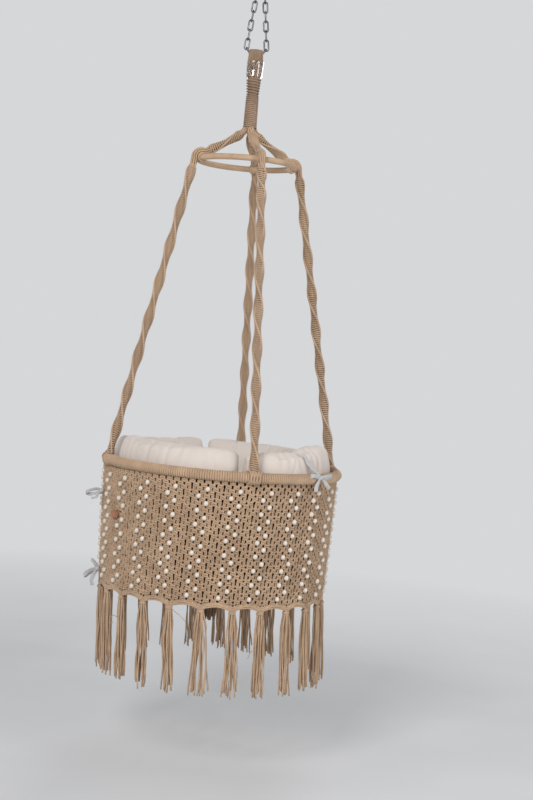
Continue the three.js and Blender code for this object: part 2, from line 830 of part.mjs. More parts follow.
const bumperNames = ['front', 'right', 'rear', 'left'];
const bumperTurn = 360 / bumperCount;
const bumperGapDegrees = THREE.MathUtils.radToDeg(bumperEndGap / bumperRadius);
bumperNames.forEach((place, k) => {
  const start = bumperAngle + (k - 0.5) * bumperTurn + bumperGapDegrees / 2;
  const geometry = bumperGeometry(start, start + bumperTurn - bumperGapDegrees);
  addPiece(`bumper_${place}`, geometry, materials.cotton);
});

// Places a piece whose back is its XZ plane on a round surface, leaning as the surface does
function addOnSurface(name, geometry, look, radius, degrees, z, lean) {
  const mesh = addPiece(name, geometry, look);
  mesh.position.copy(around(radius + clearance, degrees, z));
  mesh.rotation.set(lean, 0, THREE.MathUtils.degToRad(degrees), 'ZYX');
}

function addOnWall(name, geometry, look, degrees, z) {
  const radius = wallRadius(z) + wallThickness / 2;
  addOnSurface(name, geometry, look, radius, degrees, z, Math.atan2(wallTaper, wallTopZ - hemZ));
}

function buttonGeometry() {
  const outlineShares = [[0, 0], [0.9, 0], [1, 0.4], [0.7, 0.9], [0, 1]];
  const geometry = turned(outlineShares, buttonSides);
  geometry.scale(buttonWidth / 2, buttonHeight / 2, buttonThickness);
  geometry.rotateX(Math.PI / 2);
  return geometry;
}

addOnWall('wooden_button', buttonGeometry(), materials.cane, buttonAngle, rimZ - buttonDrop);

// One loop of a bow, open in the middle, to the side that sign says
function bowLoop(sign) {
  const outline = new THREE.Shape();
  const x = (sign * bowLoopWidth) / 2;
  outline.absellipse(x, 0, bowLoopWidth / 2, bowLoopHeight / 2, 0, 2 * Math.PI);
  const hole = new THREE.Path();
  const innerWidth = bowLoopWidth - ribbonWidth;
  const innerHeight = bowLoopHeight - ribbonWidth;
  hole.absellipse(x, 0, innerWidth / 2, innerHeight / 2, 0, 2 * Math.PI, true);
  outline.holes.push(hole);
  const options = { depth: ribbonThickness, bevelEnabled: false, curveSegments: bowSteps };
  return welded(new THREE.ExtrudeGeometry(outline, options));
}

function bowTail(sign) {
  const geometry = new THREE.BoxGeometry(ribbonWidth, bowTailLength, ribbonThickness);
  geometry.translate(0, -bowTailLength / 2, ribbonThickness / 2);
  geometry.rotateZ(sign * THREE.MathUtils.degToRad(bowTailSpread));
  return welded(geometry);
}

function bowKnot() {
  const geometry = new THREE.BoxGeometry(ribbonWidth, ribbonWidth, 2 * ribbonThickness);
  geometry.translate(0, 0, ribbonThickness);
  return welded(geometry);
}

function bowGeometry() {
  const geometry = joined([bowKnot(), bowLoop(1), bowLoop(-1), bowTail(1), bowTail(-1)]);
  geometry.rotateX(Math.PI / 2);
  return geometry;
}

const bow = bowGeometry();
addOnSurface('tie_right', bow, materials.ribbon, rimRadius + rimTube / 2,
  wrapDegrees(rimSteps * rightTieShare), rimZ, 0);
addOnWall('tie_left_upper', bow, materials.ribbon, leftTieAngle, rimZ - upperTieDrop);
addOnWall('tie_left_lower', bow, materials.ribbon, leftTieAngle, rimZ - lowerTieDrop);

export default cradle;
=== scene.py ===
import math
import random

import bpy
import numpy as np
from mathutils import Matrix, Vector


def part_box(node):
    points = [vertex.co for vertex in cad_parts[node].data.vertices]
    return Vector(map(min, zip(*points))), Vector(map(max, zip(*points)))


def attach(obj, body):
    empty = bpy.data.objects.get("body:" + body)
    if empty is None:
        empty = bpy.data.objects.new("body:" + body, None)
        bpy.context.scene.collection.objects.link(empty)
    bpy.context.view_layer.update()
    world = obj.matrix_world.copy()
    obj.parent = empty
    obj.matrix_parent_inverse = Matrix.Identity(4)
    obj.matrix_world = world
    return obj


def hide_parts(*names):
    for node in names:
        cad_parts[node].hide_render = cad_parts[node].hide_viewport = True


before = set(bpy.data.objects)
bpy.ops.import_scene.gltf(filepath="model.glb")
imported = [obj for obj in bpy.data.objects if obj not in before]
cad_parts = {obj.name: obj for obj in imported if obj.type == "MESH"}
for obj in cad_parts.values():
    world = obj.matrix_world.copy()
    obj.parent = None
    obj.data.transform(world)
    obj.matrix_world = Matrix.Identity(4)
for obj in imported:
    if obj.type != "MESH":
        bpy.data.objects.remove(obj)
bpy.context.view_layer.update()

random.seed(11)
noise = np.random.default_rng(11)
MM = 0.001

# The photograph's frame and the camera in it
PHOTO_HEIGHT_PX = 800
FOCAL_PX = 1460
SENSOR = 36
CAMERA_PLACE = (44.6 * MM, -3678.9 * MM, -1014.3 * MM)
CAMERA_PITCH = math.radians(-2.19)
CAMERA_YAW = math.radians(0.86)
CAMERA_ROLL = math.radians(4.89)

# Cords
CORD = 4 * MM
FRINGE_CORD = 3.7 * MM

# Colours as they look in plain light, in sRGB from 0 to 255
TAN = (198, 168, 138)
TAN_DARK = (166, 136, 108)
TAN_DEEP = (118, 94, 74)
# painted shade for the grooves between the turns of a winding
GROOVE_SHADE_BROWN = (96, 72, 54)
# painted shade for the cords inside the strands
CORE_SHADE_BROWN = (104, 80, 62)
# painted shade seen through the holes of the knotted wall
HOLE_SHADE_BROWN = (66, 47, 36)
ROPE_BROWN = (168, 140, 116)
COTTON = (213, 203, 195)
BEAD_CREAM = (228, 218, 206)
CANE_ORANGE = (186, 118, 70)
WOOD_RED = (182, 116, 70)
RIBBON_GREY = (188, 188, 189)
BACKDROP_GREY = (214, 215, 217)


def linear(colour):
    """An sRGB colour, 0 to 255, as Blender's linear red, green, blue and alpha."""
    shares = [c / 255 for c in colour]
    bent = [s / 12.92 if s <= 0.04045 else ((s + 0.055) / 1.055) ** 2.4 for s in shares]
    return (*bent, 1)


def around(radius, degrees, z):
    """A place on a circle round the Z axis; the angle runs from the front towards +X."""
    angle = math.radians(degrees)
    return np.array([radius * math.sin(angle), -radius * math.cos(angle), z])


def middle(node):
    low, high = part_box(node)
    return (np.array(low) + np.array(high)) / 2


def size(node):
    low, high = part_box(node)
    return np.array(high) - np.array(low)


def top(node):
    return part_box(node)[1][2]


def foot(node):
    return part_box(node)[0][2]


# Mesh building

def turns(count):
    """Evenly spaced angles round one turn."""
    return 2 * math.pi * np.arange(count) / count


def level_ring(radius, z, steps):
    """A level circle round the Z axis."""
    turn = turns(steps)
    return np.stack([radius * np.cos(turn), radius * np.sin(turn), np.full(steps, z)], 1)


def unit(vectors):
    return vectors / np.maximum(np.linalg.norm(vectors, axis=-1, keepdims=True), 1e-12)


def run_lengths(path):
    steps = np.linalg.norm(np.diff(path, axis=0), axis=1)
    return np.concatenate([[0], np.cumsum(steps)])


def frames(path, looped=False, first=None):
    """Tangents and two normals along a path, carried along it without twist."""
    ahead = np.roll(path, -1, 0) - np.roll(path, 1, 0) if looped else np.gradient(path, axis=0)
    tangents = unit(ahead)
    normal = np.array([0.31, 0.17, 0.93]) if first is None else np.array(first, float)
    normals = []
    for tangent in tangents:
        normal = unit(normal - tangent * normal.dot(tangent))
        normals.append(normal)
    normals = np.array(normals)
    return tangents, normals, np.cross(tangents, normals)


def skin(rings, lengths, looped=False):
    """Points, faces and UVs of a skin over rings of points, with closed ends unless it is looped."""
    count, sides = rings.shape[:2]
    spans = count if looped else count - 1
    i, j = np.meshgrid(np.arange(spans), np.arange(sides), indexing="ij")
    i, j = i.ravel(), j.ravel()
    ahead, beside = (i + 1) % count, (j + 1) % sides
    quads = np.stack([i * sides + j, i * sides + beside, ahead * sides + beside, ahead * sides + j], 1)
    along = np.append(lengths, 2 * lengths[-1] - lengths[-2])
    near, far = along[i], along[i + 1]
    left, right = j / sides, (j + 1) / sides
    places = np.stack([near, left, near, right, far, right, far, left], 1).reshape(-1, 4, 2)
    faces, uvs = [quads], [places]
    if not looped:
        ring = np.arange(sides)
        caps = np.stack([ring[::-1], (count - 1) * sides + ring])
        faces.append(caps)
        uvs.append(np.zeros((2, sides, 2)))
    return rings.reshape(-1, 3), faces, uvs


def tube(path, radius, sides=6, looped=False, first=None):
    """A round cord along a path; radius is one value or one for each point."""
    path = np.asarray(path, float)
    _, normals, sides_on = frames(path, looped, first)
    angles = turns(sides)
    radii = np.broadcast_to(np.asarray(radius, float), (len(path),))[:, None, None]
    circle = np.cos(angles)[None, :, None] * normals[:, None] + \
        np.sin(angles)[None, :, None] * sides_on[:, None]
    return skin(path[:, None] + radii * circle, run_lengths(path), looped)


def bent_path(points, steps=22):
    """A smooth path through a few points."""
    points = np.array(points, float)
    spots = np.linspace(0, len(points) - 1, steps)
    padded_points = np.vstack([2 * points[0] - points[1], points, 2 * points[-1] - points[-2]])
    path = []
    for spot in spots:
        k = min(int(spot), len(points) - 2)
        t = spot - k
        a, b, c, d = padded_points[k:k + 4]
        curve = (2 * a - 5 * b + 4 * c - d) * t * t + (3 * b - a - 3 * c + d) * t ** 3
        path.append(0.5 * (2 * b + (c - a) * t + curve))
    return np.array(path)


def ball(radius, height, rings=8, sides=12):
    """A ball a little taller than wide, standing on its pole."""
    bands = []
    for k in range(1, rings):
        angle = math.pi * k / rings
        bands.append(level_ring(radius * math.sin(angle), -height / 2 * math.cos(angle), sides))
    return skin(np.array(bands), np.linspace(0, height, rings - 1))


class Pile:
    """Collects shapes and turns them into one mesh object."""

    def __init__(self):
        self.points, self.corners, self.sizes, self.uvs = [], [], [], []
        self.count = 0

    def add(self, shape):
        points, faces, uvs = shape
        for corners, places in zip(faces, uvs):
            self.corners.append(corners.reshape(-1) + self.count)
            self.sizes.append(np.full(len(corners), corners.shape[1]))
            self.uvs.append(places.reshape(-1, 2))
        self.points.append(points)
        self.count += len(points)

    def add_copies(self, shape, sets_of_points):
        """Adds the shape once for each set of its points, moved to a new place."""
        points, faces, uvs = shape
        copies = len(sets_of_points)
        shifts = (self.count + np.arange(copies) * len(points))[:, None, None]
        for corners, places in zip(faces, uvs):
            self.corners.append((corners[None] + shifts).reshape(-1))
            self.sizes.append(np.full(len(corners) * copies, corners.shape[1]))
            self.uvs.append(np.tile(places.reshape(-1, 2), (copies, 1)))
        self.points.append(sets_of_points.reshape(-1, 3))
        self.count += copies * len(points)

    def build(self, name, look, node, body="cradle", slot="cord"):
        """Makes the object with its material, hangs it on the empty of its body and hides the part of the
        node it stands for; the slot is not used.
        """
        points = np.concatenate(self.points)
        corners = np.concatenate(self.corners)
        sizes = np.concatenate(self.sizes)
        mesh = bpy.data.meshes.new(name)
        mesh.vertices.add(len(points))
        mesh.vertices.foreach_set("co", points.astype(np.float32).ravel())
        mesh.loops.add(len(corners))
        mesh.loops.foreach_set("vertex_index", corners.astype(np.int32))
        mesh.polygons.add(len(sizes))
        starts = np.concatenate([[0], np.cumsum(sizes)[:-1]])
        mesh.polygons.foreach_set("loop_start", starts.astype(np.int32))
        mesh.polygons.foreach_set("use_smooth", np.ones(len(sizes), bool))
        layer = mesh.uv_layers.new(name="cord")
        layer.data.foreach_set("uv", np.concatenate(self.uvs).astype(np.float32).ravel())
        mesh.update(calc_edges=True)
        mesh.validate()
        piece = bpy.data.objects.new(name, mesh)
        bpy.context.scene.collection.objects.link(piece)
        mesh.materials.append(look)
        if node:
            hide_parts(node)
        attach(piece, body)
        return piece


def build_piece(name, look, node, *shapes, body="cradle", slot="cord"):
    """One piece made of these shapes."""
    pile = Pile()
    for shape in shapes:
        pile.add(shape)
    return pile.build(name, look, node, body, slot)


# Materials

class Nodes:
    """Short names for the node calls of one material, or of the world."""

    def __init__(self, name, owners=bpy.data.materials, shader="Principled BSDF"):
        self.owner = owners.new(name)
        self.owner.use_nodes = True
        self.tree = self.owner.node_tree
        self.shader = self.tree.nodes[shader]

    def new(self, kind, **values):
        node = self.tree.nodes.new(kind)
        for key, value in values.items():
            setattr(node, key, value)
        return node

    def link(self, source, target):
        self.tree.links.new(source, target)

    def set(self, **values):
        for key, value in values.items():
            self.shader.inputs[key.replace("_", " ")].default_value = value

    def math(self, operation, *values):
        node = self.new("ShaderNodeMath", operation=operation)
        for socket, value in zip(node.inputs, values):
            if isinstance(value, (int, float)):
                socket.default_value = value
            else:
                self.link(value, socket)
        return node.outputs[0]

    def noise(self, scale, detail=3.0, stretch=None):
        node = self.new("ShaderNodeTexNoise")
        node.inputs["Scale"].default_value = scale
        node.inputs["Detail"].default_value = detail
        place = self.new("ShaderNodeTexCoord").outputs["Object"]
        if stretch:
            mapping = self.new("ShaderNodeMapping")
            mapping.inputs["Scale"].default_value = stretch
            self.link(place, mapping.inputs["Vector"])
            place = mapping.outputs["Vector"]
        self.link(place, node.inputs["Vector"])
        return node.outputs["Fac"]

    def ramp(self, source, low, high, least=0.0, most=1.0):
        """A value from least to most as source goes from low to high."""
        node = self.new("ShaderNodeMapRange")
        node.inputs["From Min"].default_value = low
        node.inputs["From Max"].default_value = high
        node.inputs["To Min"].default_value = least
        node.inputs["To Max"].default_value = most
        self.link(source, node.inputs["Value"])
        return node.outputs["Result"]

    def mix(self, share, first, second):
        node = self.new("ShaderNodeMix", data_type="RGBA")
        self.link(share, node.inputs["Factor"])
        for name, value in (("A", first), ("B", second)):
            socket = [s for s in node.inputs if s.name == name and s.type == "RGBA"][0]
            if isinstance(value, tuple):
                socket.default_value = value
            else:
                self.link(value, socket)
        return [s for s in node.outputs if s.type == "RGBA"][0]

    def finish(self, colour, grain, spread, rough, normal):
        """Links the colour, the normal, and a roughness of rough and spread times the grain."""
        self.link(colour, self.shader.inputs["Base Color"])
        roughness = self.math("ADD", self.math("MULTIPLY", grain, spread), rough)
        self.link(roughness, self.shader.inputs["Roughness"])
        self.link(normal, self.shader.inputs["Normal"])
        return self.owner

    def bump(self, height, distance, strength=1.0, normal=None):
        node = self.new("ShaderNodeBump")
        node.inputs["Distance"].default_value = distance
        node.inputs["Strength"].default_value = strength
        self.link(height, node.inputs["Height"])
        if normal:
            self.link(normal, node.inputs["Normal"])
        return node.outputs["Normal"]


def shifted(colour, step):
    """A colour made a little lighter, or darker where the step is under 0."""
    return linear([min(255, c + step) for c in colour])


def cord_look(name, colour, dark, lay=7.5 * MM, plies=3, depth=0.35 * MM, groove_shade=False):
    """Twisted cotton cord: plies wind round it by its UVs, u metres along it and v turns round it; painted
    shade darkens the grooves between the plies.

    Where asked, painted shade also darkens the grooves between the turns of a winding."""
    n = Nodes(name)
    uv = n.new("ShaderNodeSeparateXYZ")
    n.link(n.new("ShaderNodeUVMap", uv_map="cord").outputs["UV"], uv.inputs[0])
    along = n.math("MULTIPLY", uv.outputs[0], plies / lay)
    turn = n.math("ADD", along, n.math("MULTIPLY", uv.outputs[1], plies))
    groove = n.math("ABSOLUTE", n.math("SINE", n.math("MULTIPLY", turn, math.pi)))
    fibre = n.noise(1900, 4)
    patch = n.noise(22, 3)
    base = n.mix(n.ramp(patch, 0.35, 0.68), linear(colour), linear(dark))
    # painted shade: the colour goes to the dark colour in the grooves between the plies
    shade = n.mix(n.ramp(groove, 0.0, 0.5), linear(dark), base)
    shade = n.mix(n.ramp(fibre, 0.42, 0.75), shade, shifted(colour, 14))
    # painted shade: the grooves between the turns of a winding are darkened towards a dark brown
    if groove_shade:
        place = n.math("FRACT", n.math("MULTIPLY", uv.outputs[1], 2.0))
        edge = n.math("ABSOLUTE", n.math("SUBTRACT", n.math("MULTIPLY", place, 2.0), 1.0))
        shade = n.mix(n.ramp(edge, 0.74, 1.0), shade, linear(GROOVE_SHADE_BROWN))
    n.set(Sheen_Weight=0.25, Sheen_Roughness=0.5, Specular_IOR_Level=0.25)
    normal = n.bump(fibre, 0.12 * MM, 0.7, n.bump(groove, depth))
    return n.finish(shade, n.ramp(fibre, 0.0, 1.4), 0.12, 0.84, normal)


def cloth_look(name, colour, weave=0.55 * MM, depth=0.05 * MM):
    """Plain-woven cotton: threads cross in two directions over a soft mottle."""
    n = Nodes(name)
    place = n.new("ShaderNodeTexCoord").outputs["Object"]
    parts = n.new("ShaderNodeSeparateXYZ")
    n.link(place, parts.inputs[0])
    side = n.math("ADD", parts.outputs[0], parts.outputs[1])
    warp = n.math("SINE", n.math("MULTIPLY", side, 2 * math.pi / weave))
    weft = n.math("SINE", n.math("MULTIPLY", parts.outputs[2], 2 * math.pi / weave))
    threads = n.math("MULTIPLY", warp, weft)
    mottle = n.noise(9, 4)
    slub = n.noise(420, 3)
    base = n.mix(n.ramp(mottle, 0.3, 0.7), shifted(colour, 8), linear(colour))
    n.set(Sheen_Weight=0.3, Sheen_Roughness=0.4, Specular_IOR_Level=0.2)
    crease = n.bump(n.noise(34, 5), 1.4 * MM, 0.6)
    normal = n.bump(slub, 0.1 * MM, 0.5, n.bump(threads, depth, 0.6, crease))
    return n.finish(n.mix(n.ramp(slub, 0.5, 1.1), base, shifted(colour, -14)), slub, 0.1, 0.86, normal)


def wood_look(name, colour, dark, stretch=(1, 1, 1), rough=0.42):
    """Varnished cane or wood with a fine grain."""
    n = Nodes(name)
    grain = n.noise(160, 6, stretch=stretch)
    patch = n.noise(30, 3)
    base = n.mix(n.ramp(grain, 0.35, 0.7), linear(colour), linear(dark))
    n.set(Coat_Weight=0.3, Coat_Roughness=0.25)
    colour = n.mix(n.ramp(patch, 0.45, 0.8), base, shifted(colour, 16))
    return n.finish(colour, grain, 0.2, rough - 0.1, n.bump(grain, 0.15 * MM, 0.6))


def steel_look(name):
    """Dark zinc-plated wire, a little worn."""
    n = Nodes(name)
    wear = n.noise(240, 5)
    patch = n.noise(60, 3)
    colour = n.mix(n.ramp(patch, 0.35, 0.7), (0.1, 0.102, 0.108, 1), (0.21, 0.212, 0.22, 1))
    n.set(Metallic=1.0)
    return n.finish(colour, wear, 0.3, 0.2, n.bump(wear, 0.08 * MM, 0.5))


def film_look(name):
    """Clear glossy film, drawn tight over the rope."""
    n = Nodes(name)
    haze = n.noise(90, 4, stretch=(1, 1, 0.25))
    colour = n.mix(n.ramp(haze, 0.3, 0.7), (0.93, 0.94, 0.95, 1), (0.99, 0.99, 0.99, 1))
    n.set(Transmission_Weight=1.0, IOR=1.1, Coat_Weight=1.0, Coat_Roughness=0.04, Coat_IOR=1.6)
    return n.finish(colour, haze, 0.08, 0.02, n.bump(haze, 0.5 * MM, 0.6))


def bead_look(name):
    """Pale painted wood beads with a soft shine."""
    n = Nodes(name)
    grain = n.noise(320, 4, stretch=(1, 1, 0.4))
    patch = n.noise(45, 2)
    base = n.mix(n.ramp(patch, 0.3, 0.75), linear(BEAD_CREAM), linear((222, 210, 196)))
    colour = n.mix(n.ramp(grain, 0.6, 0.85), base, linear((206, 192, 176)))
    n.set(Coat_Weight=0.25, Coat_Roughness=0.3)
    return n.finish(colour, grain, 0.2, 0.32, n.bump(grain, 0.08 * MM, 0.5))


cord = cord_look("tan_cord", TAN, TAN_DARK)
wrap_cord = cord_look("wrap_cord", TAN, TAN_DARK, depth=0.25 * MM)
# the rim's winding has painted shade in its grooves
rim_cord = cord_look("rim_cord", TAN, TAN_DARK, depth=0.25 * MM, groove_shade=True)
# painted shade: the core cords inside the strands are coloured a darker brown than the tan cord, for the
# shade inside the knots
core_cord = cord_look("core_cord", CORE_SHADE_BROWN, (78, 58, 44), depth=0.2 * MM)
neck_cord = cord_look("neck_cord", ROPE_BROWN, TAN_DEEP, depth=0.2 * MM)
rope = cord_look("neck_rope", ROPE_BROWN, TAN_DEEP, lay=11 * MM, depth=0.5 * MM)
# painted shade: the tuft under the basket is coloured a darker brown than the tan cord
tuft_cord = cord_look("tuft_cord", (150, 124, 98), (96, 78, 60))
# painted shade: a dark brown cloth stands for the shade inside the knotted wall
painted_shade_cloth = cloth_look("inner_side", HOLE_SHADE_BROWN, weave=4 * MM, depth=0.6 * MM)
cotton = cloth_look("bumper_cotton", COTTON)
ribbon = cloth_look("ribbon_cotton", RIBBON_GREY, weave=0.4 * MM)
cane = wood_look("cane", CANE_ORANGE, (140, 80, 44))
wood = wood_look("button_wood", WOOD_RED, (120, 64, 34), stretch=(1, 1, 5))
steel = steel_look("plated_steel")
film = film_look("clear_film")
bead = bead_look("bead_wood")

# Ceiling plate, hook, ring and chain
PLATE_HALF = size("ceiling_hook")[0] / 2
PLATE_THICKNESS = 4 * MM
PLATE_CORNER = 6 * MM
SCREW_PLACE = 25 * MM
SCREW_HEAD = 4.8 * MM
HOOK_WIRE = 8 * MM
HOOK_RADIUS = 17 * MM
HOOK_SHANK = 10 * MM
HOOK_TIP = 8 * MM
RING_WIRE = 5 * MM
LINK_WIRE = 4 * MM
LINK_END_RADIUS = 5.25 * MM
LINK_STRAIGHT = 17.2 * MM
LINKS = 8
SADDLE_SLOPE = math.radians(33.9)


def rounded_square(half, corner, z, steps=6):
    points = []
    for quarter, (x, y) in enumerate(((1, 1), (-1, 1), (-1, -1), (1, -1))):
        for k in range(steps + 1):
            angle = math.pi / 2 * (quarter + k / steps)
            points.append((x * (half - corner) + corner * math.cos(angle),
                           y * (half - corner) + corner * math.sin(angle), z))
    return points


def lathe(profile, steps=24, place=(0, 0, 0)):
    """A profile of (radius, z) turned round Z; it starts and ends at a small radius."""
    rings = np.array([level_ring(r, z, steps) for r, z in profile])
    return skin(rings + np.array(place), run_lengths(np.array([(r, 0, z) for r, z in profile])))


def hook_path():
    points = [(0, 0, -PLATE_THICKNESS), (0, 0, -PLATE_THICKNESS - HOOK_SHANK)]
    centre = foot("ceiling_hook") + HOOK_WIRE / 2 + HOOK_RADIUS
    drop = -PLATE_THICKNESS - HOOK_SHANK - centre
    for k in range(1, 12):
        share = k / 12
        y = HOOK_RADIUS * (1 - math.cos(math.pi * share)) / 2
        points.append((0, y, -PLATE_THICKNESS - HOOK_SHANK - drop * share))
    for k in range(0, 25):
        angle = math.pi * k / 24
        points.append((0, HOOK_RADIUS * math.cos(angle), centre - HOOK_RADIUS * math.sin(angle)))
    points.append((0, -HOOK_RADIUS, centre + HOOK_TIP * 0.7))
    points.append((0, -HOOK_RADIUS, centre + HOOK_TIP))
    return np.array(points)


def make_hook():
    bevel = 0.7 * MM
    low = -PLATE_THICKNESS
    levels = [(PLATE_HALF - bevel, low), (PLATE_HALF, low + bevel),
              (PLATE_HALF, -bevel), (PLATE_HALF - bevel, 0)]
    rings = np.array([rounded_square(half, PLATE_CORNER, z) for half, z in levels])
    plate = skin(rings, run_lengths(np.array([(half, 0, z) for half, z in levels])))
    path = hook_path()
    radii = np.full(len(path), HOOK_WIRE / 2)
    radii[-1] *= 0.55
    radii[-2] *= 0.95
    collar = lathe([(HOOK_WIRE * 0.5, low - 2.4 * MM), (HOOK_WIRE * 0.85, low - 1.6 * MM),
                    (HOOK_WIRE * 0.95, low)])
    places = (-SCREW_PLACE, SCREW_PLACE)
    screws = [screw_head(x, y) for x in places for y in places]
    build_piece("hook_and_plate", steel, "ceiling_hook", plate, tube(path, radii, 16, first=(1, 0, 0)),
                collar, *screws, body="hook", slot="steel")


def screw_head(x, y):
    """A domed screw head with a round socket, under the plate."""
    low = -PLATE_THICKNESS
    profile = [(0.1 * MM, low - 1.1 * MM), (1.5 * MM, low - 1.1 * MM), (1.7 * MM, low - 2.5 * MM),
               (2.6 * MM, low - 2.4 * MM), (SCREW_HEAD * 0.85, low - 1.6 * MM), (SCREW_HEAD, low)]
    return lathe(profile, 20, (x, y, 0))


def make_ring():
    centre = middle("hanging_ring")[2]
    radius = (size("hanging_ring")[0] - RING_WIRE) / 2
    turn = turns(72)
    path = np.stack([radius * np.cos(turn), 0 * turn, centre + radius * np.sin(turn)], 1)
    build_piece("ring_wire", steel, "hanging_ring",
                tube(path, RING_WIRE / 2, 14, looped=True, first=(0, 1, 0)), body="ring", slot="steel")


def link_shape(centre, along, across):
    """One welded wire link round its middle; along is its length, across its flat side."""
    points = []
    for end in (1, -1):
        for k in range(9):
            angle = math.pi * k / 8
            points.append(centre + along * end * (LINK_STRAIGHT / 2 + LINK_END_RADIUS * math.sin(angle))
                          + across * end * LINK_END_RADIUS * math.cos(angle))
    return tube(np.array(points), LINK_WIRE / 2, 12, looped=True, first=np.cross(along, across))


def make_link(name, body, node, along, across):
    build_piece(name, steel, node, link_shape(middle(node), along, across), body=body, slot="steel")


def make_chain():
    side_on = np.array([0, 1.0, 0])
    for side, sign in (("left", -1), ("right", 1)):
        run = unit(middle(f"chain_{side}_{LINKS}") - middle(f"chain_{side}_1"))
        for k in range(1, LINKS + 1):
            across = side_on if k % 2 else np.cross(run, side_on)
            make_link(f"link_{side}_{k}", "chain", f"chain_{side}_{k}", run, across)
        slope = np.array([sign * math.sin(SADDLE_SLOPE), 0, math.cos(SADDLE_SLOPE)])
        make_link(f"saddle_link_{side}", "chain", f"saddle_{side}", slope, side_on)
    make_link("saddle_link_middle", "saddle", "saddle_middle", np.array([1.0, 0, 0]), np.array([0, 0, 1.0]))


make_hook()
make_ring()
make_chain()

# Neck: cords loop over the saddle link and run down inside the sleeve and the bindings
EYE_TOP = top("rope_eye")
NECK_FOOT = foot("rope_eye")
SLEEVE_TOP = top("clear_sleeve")
SLEEVE_FOOT = foot("clear_sleeve")
EYE_RADIUS = 20.7 * MM
NECK_SHAPE = [(EYE_TOP, EYE_RADIUS), (SLEEVE_TOP, EYE_RADIUS), (SLEEVE_FOOT, 18.6 * MM),
              (top("upper_binding"), 15.2 * MM), (top("lower_binding"), 11.8 * MM),
              (top("lower_binding") - 12 * MM, 12.4 * MM), (NECK_FOOT, 13.6 * MM)]
EYE_LAYERS = [(4, 13.4 * MM), (6, 16 * MM), (9, 18.6 * MM)]  # cords side by side, and their legs' reach
EYE_CORD = 4.4 * MM
ARCH_THICKNESS = 14.2 * MM
LEG_TOP = 9 * MM
EYE_FLARE = -0.1
CROWN_LIFT = 0.85 * MM
BINDING_REACH = 2 * MM
EYE_LEAST_REACH = 11.9 * MM
EYE_SPACING = 0.89
EYE_SPREAD_DROP = 10 * MM
NECK_TWIST = 9
SLEEVE_WALL = 0.5 * MM
SLEEVE_STAND = 0.7 * MM


def neck_radius(z):
    heights, radii = zip(*NECK_SHAPE)
    return float(np.interp(-z, [-h for h in heights], radii))


def eye_cords():
    """Each cord's leg places in the eye: (x, y of its leg, height of its crown)."""
    cords = []
    for layer, (count, reach) in enumerate(EYE_LAYERS):
        crown = EYE_TOP - ARCH_THICKNESS + CROWN_LIFT + EYE_CORD * (layer + 0.5)
        for k in range(count):
            x = (k - (count - 1) / 2) * EYE_CORD * EYE_SPACING
            y = min(reach, math.sqrt((EYE_RADIUS - EYE_CORD / 2) ** 2 - x * x))
            y = max(y, EYE_LEAST_REACH)
            cords.append((x, y, crown - 0.02 * abs(x)))
    return cords


def make_eye():
    cords = eye_cords()
    legs = [(x, sign * y, k) for k, (x, y, _) in enumerate(cords) for sign in (1, -1)]
    order = sorted(range(len(legs)), key=lambda i: math.atan2(legs[i][1], legs[i][0]))
    spots = {i: 2 * math.pi * (n + 0.5) / len(legs) - math.pi for n, i in enumerate(order)}
    shapes = []
    for k, (x, y, crown) in enumerate(cords):
        halves = [leg_path(x, y, crown, spots[2 * k], 0), leg_path(x, -y, crown, spots[2 * k + 1], 1)]
        path = np.concatenate([halves[0], halves[1][::-1][1:]])
        shapes.append(tube(path, EYE_CORD / 2, 8, first=(1, 0, 0)))
    build_piece("eye_cords", rope, "rope_eye", *shapes, body="neck", slot="rope")


def leg_path(x, y, crown, spot, inner):
    """Half of an eye cord, from the foot of the neck up to its crown over the saddle link."""
    points = []
    bend_top = crown - LEG_TOP
    spread_foot = SLEEVE_TOP - EYE_SPREAD_DROP
    for z in np.linspace(NECK_FOOT, spread_foot, 26):
        reach = neck_radius(z) - EYE_CORD * (0.5 if inner else 1.3)
        turned = spot + NECK_TWIST * (z - spread_foot)
        points.append((reach * math.cos(turned), reach * math.sin(turned), z))
    low = points[-1]
    for share in (0.25, 0.5, 0.75, 1.0):
        blend = share * share * (3 - 2 * share)
        points.append((low[0] + (x - low[0]) * blend, low[1] + (y - low[1]) * blend,
                       low[2] + (bend_top - low[2]) * share))
    for k in range(1, 7):
        angle = math.pi / 2 * k / 6
        flare = 1 + EYE_FLARE * math.sin(angle)
        points.append((x * flare, y * math.cos(angle), bend_top + LEG_TOP * math.sin(angle) ** 0.7))
    return np.array(points)


def make_sleeve():
    turn = turns(96)
    ripple = 0.22 * MM * np.sin(5 * turn + 0.6) + 0.1 * MM * np.sin(11 * turn)

    def ring(share, inset):
        z = SLEEVE_TOP + (SLEEVE_FOOT - SLEEVE_TOP) * share
        sag = 0.25 * MM * np.sin(7 * share + 3 * turn)
        radius = neck_radius(z) + SLEEVE_STAND - inset + ripple + sag
        edge = 0.8 * MM * np.sin(5 * turn) * (share - 0.5)
        return np.stack([radius * np.cos(turn), radius * np.sin(turn), z + edge], 1)
    shares = np.linspace(0, 1, 30)
    rings = np.array([ring(s, 0) for s in shares] + [ring(s, SLEEVE_WALL) for s in shares[::-1]])
    build_piece("sleeve_film", film, "clear_sleeve",
                skin(rings[::-1], np.linspace(0, 0.08, len(rings)), looped=True), body="neck", slot="film")


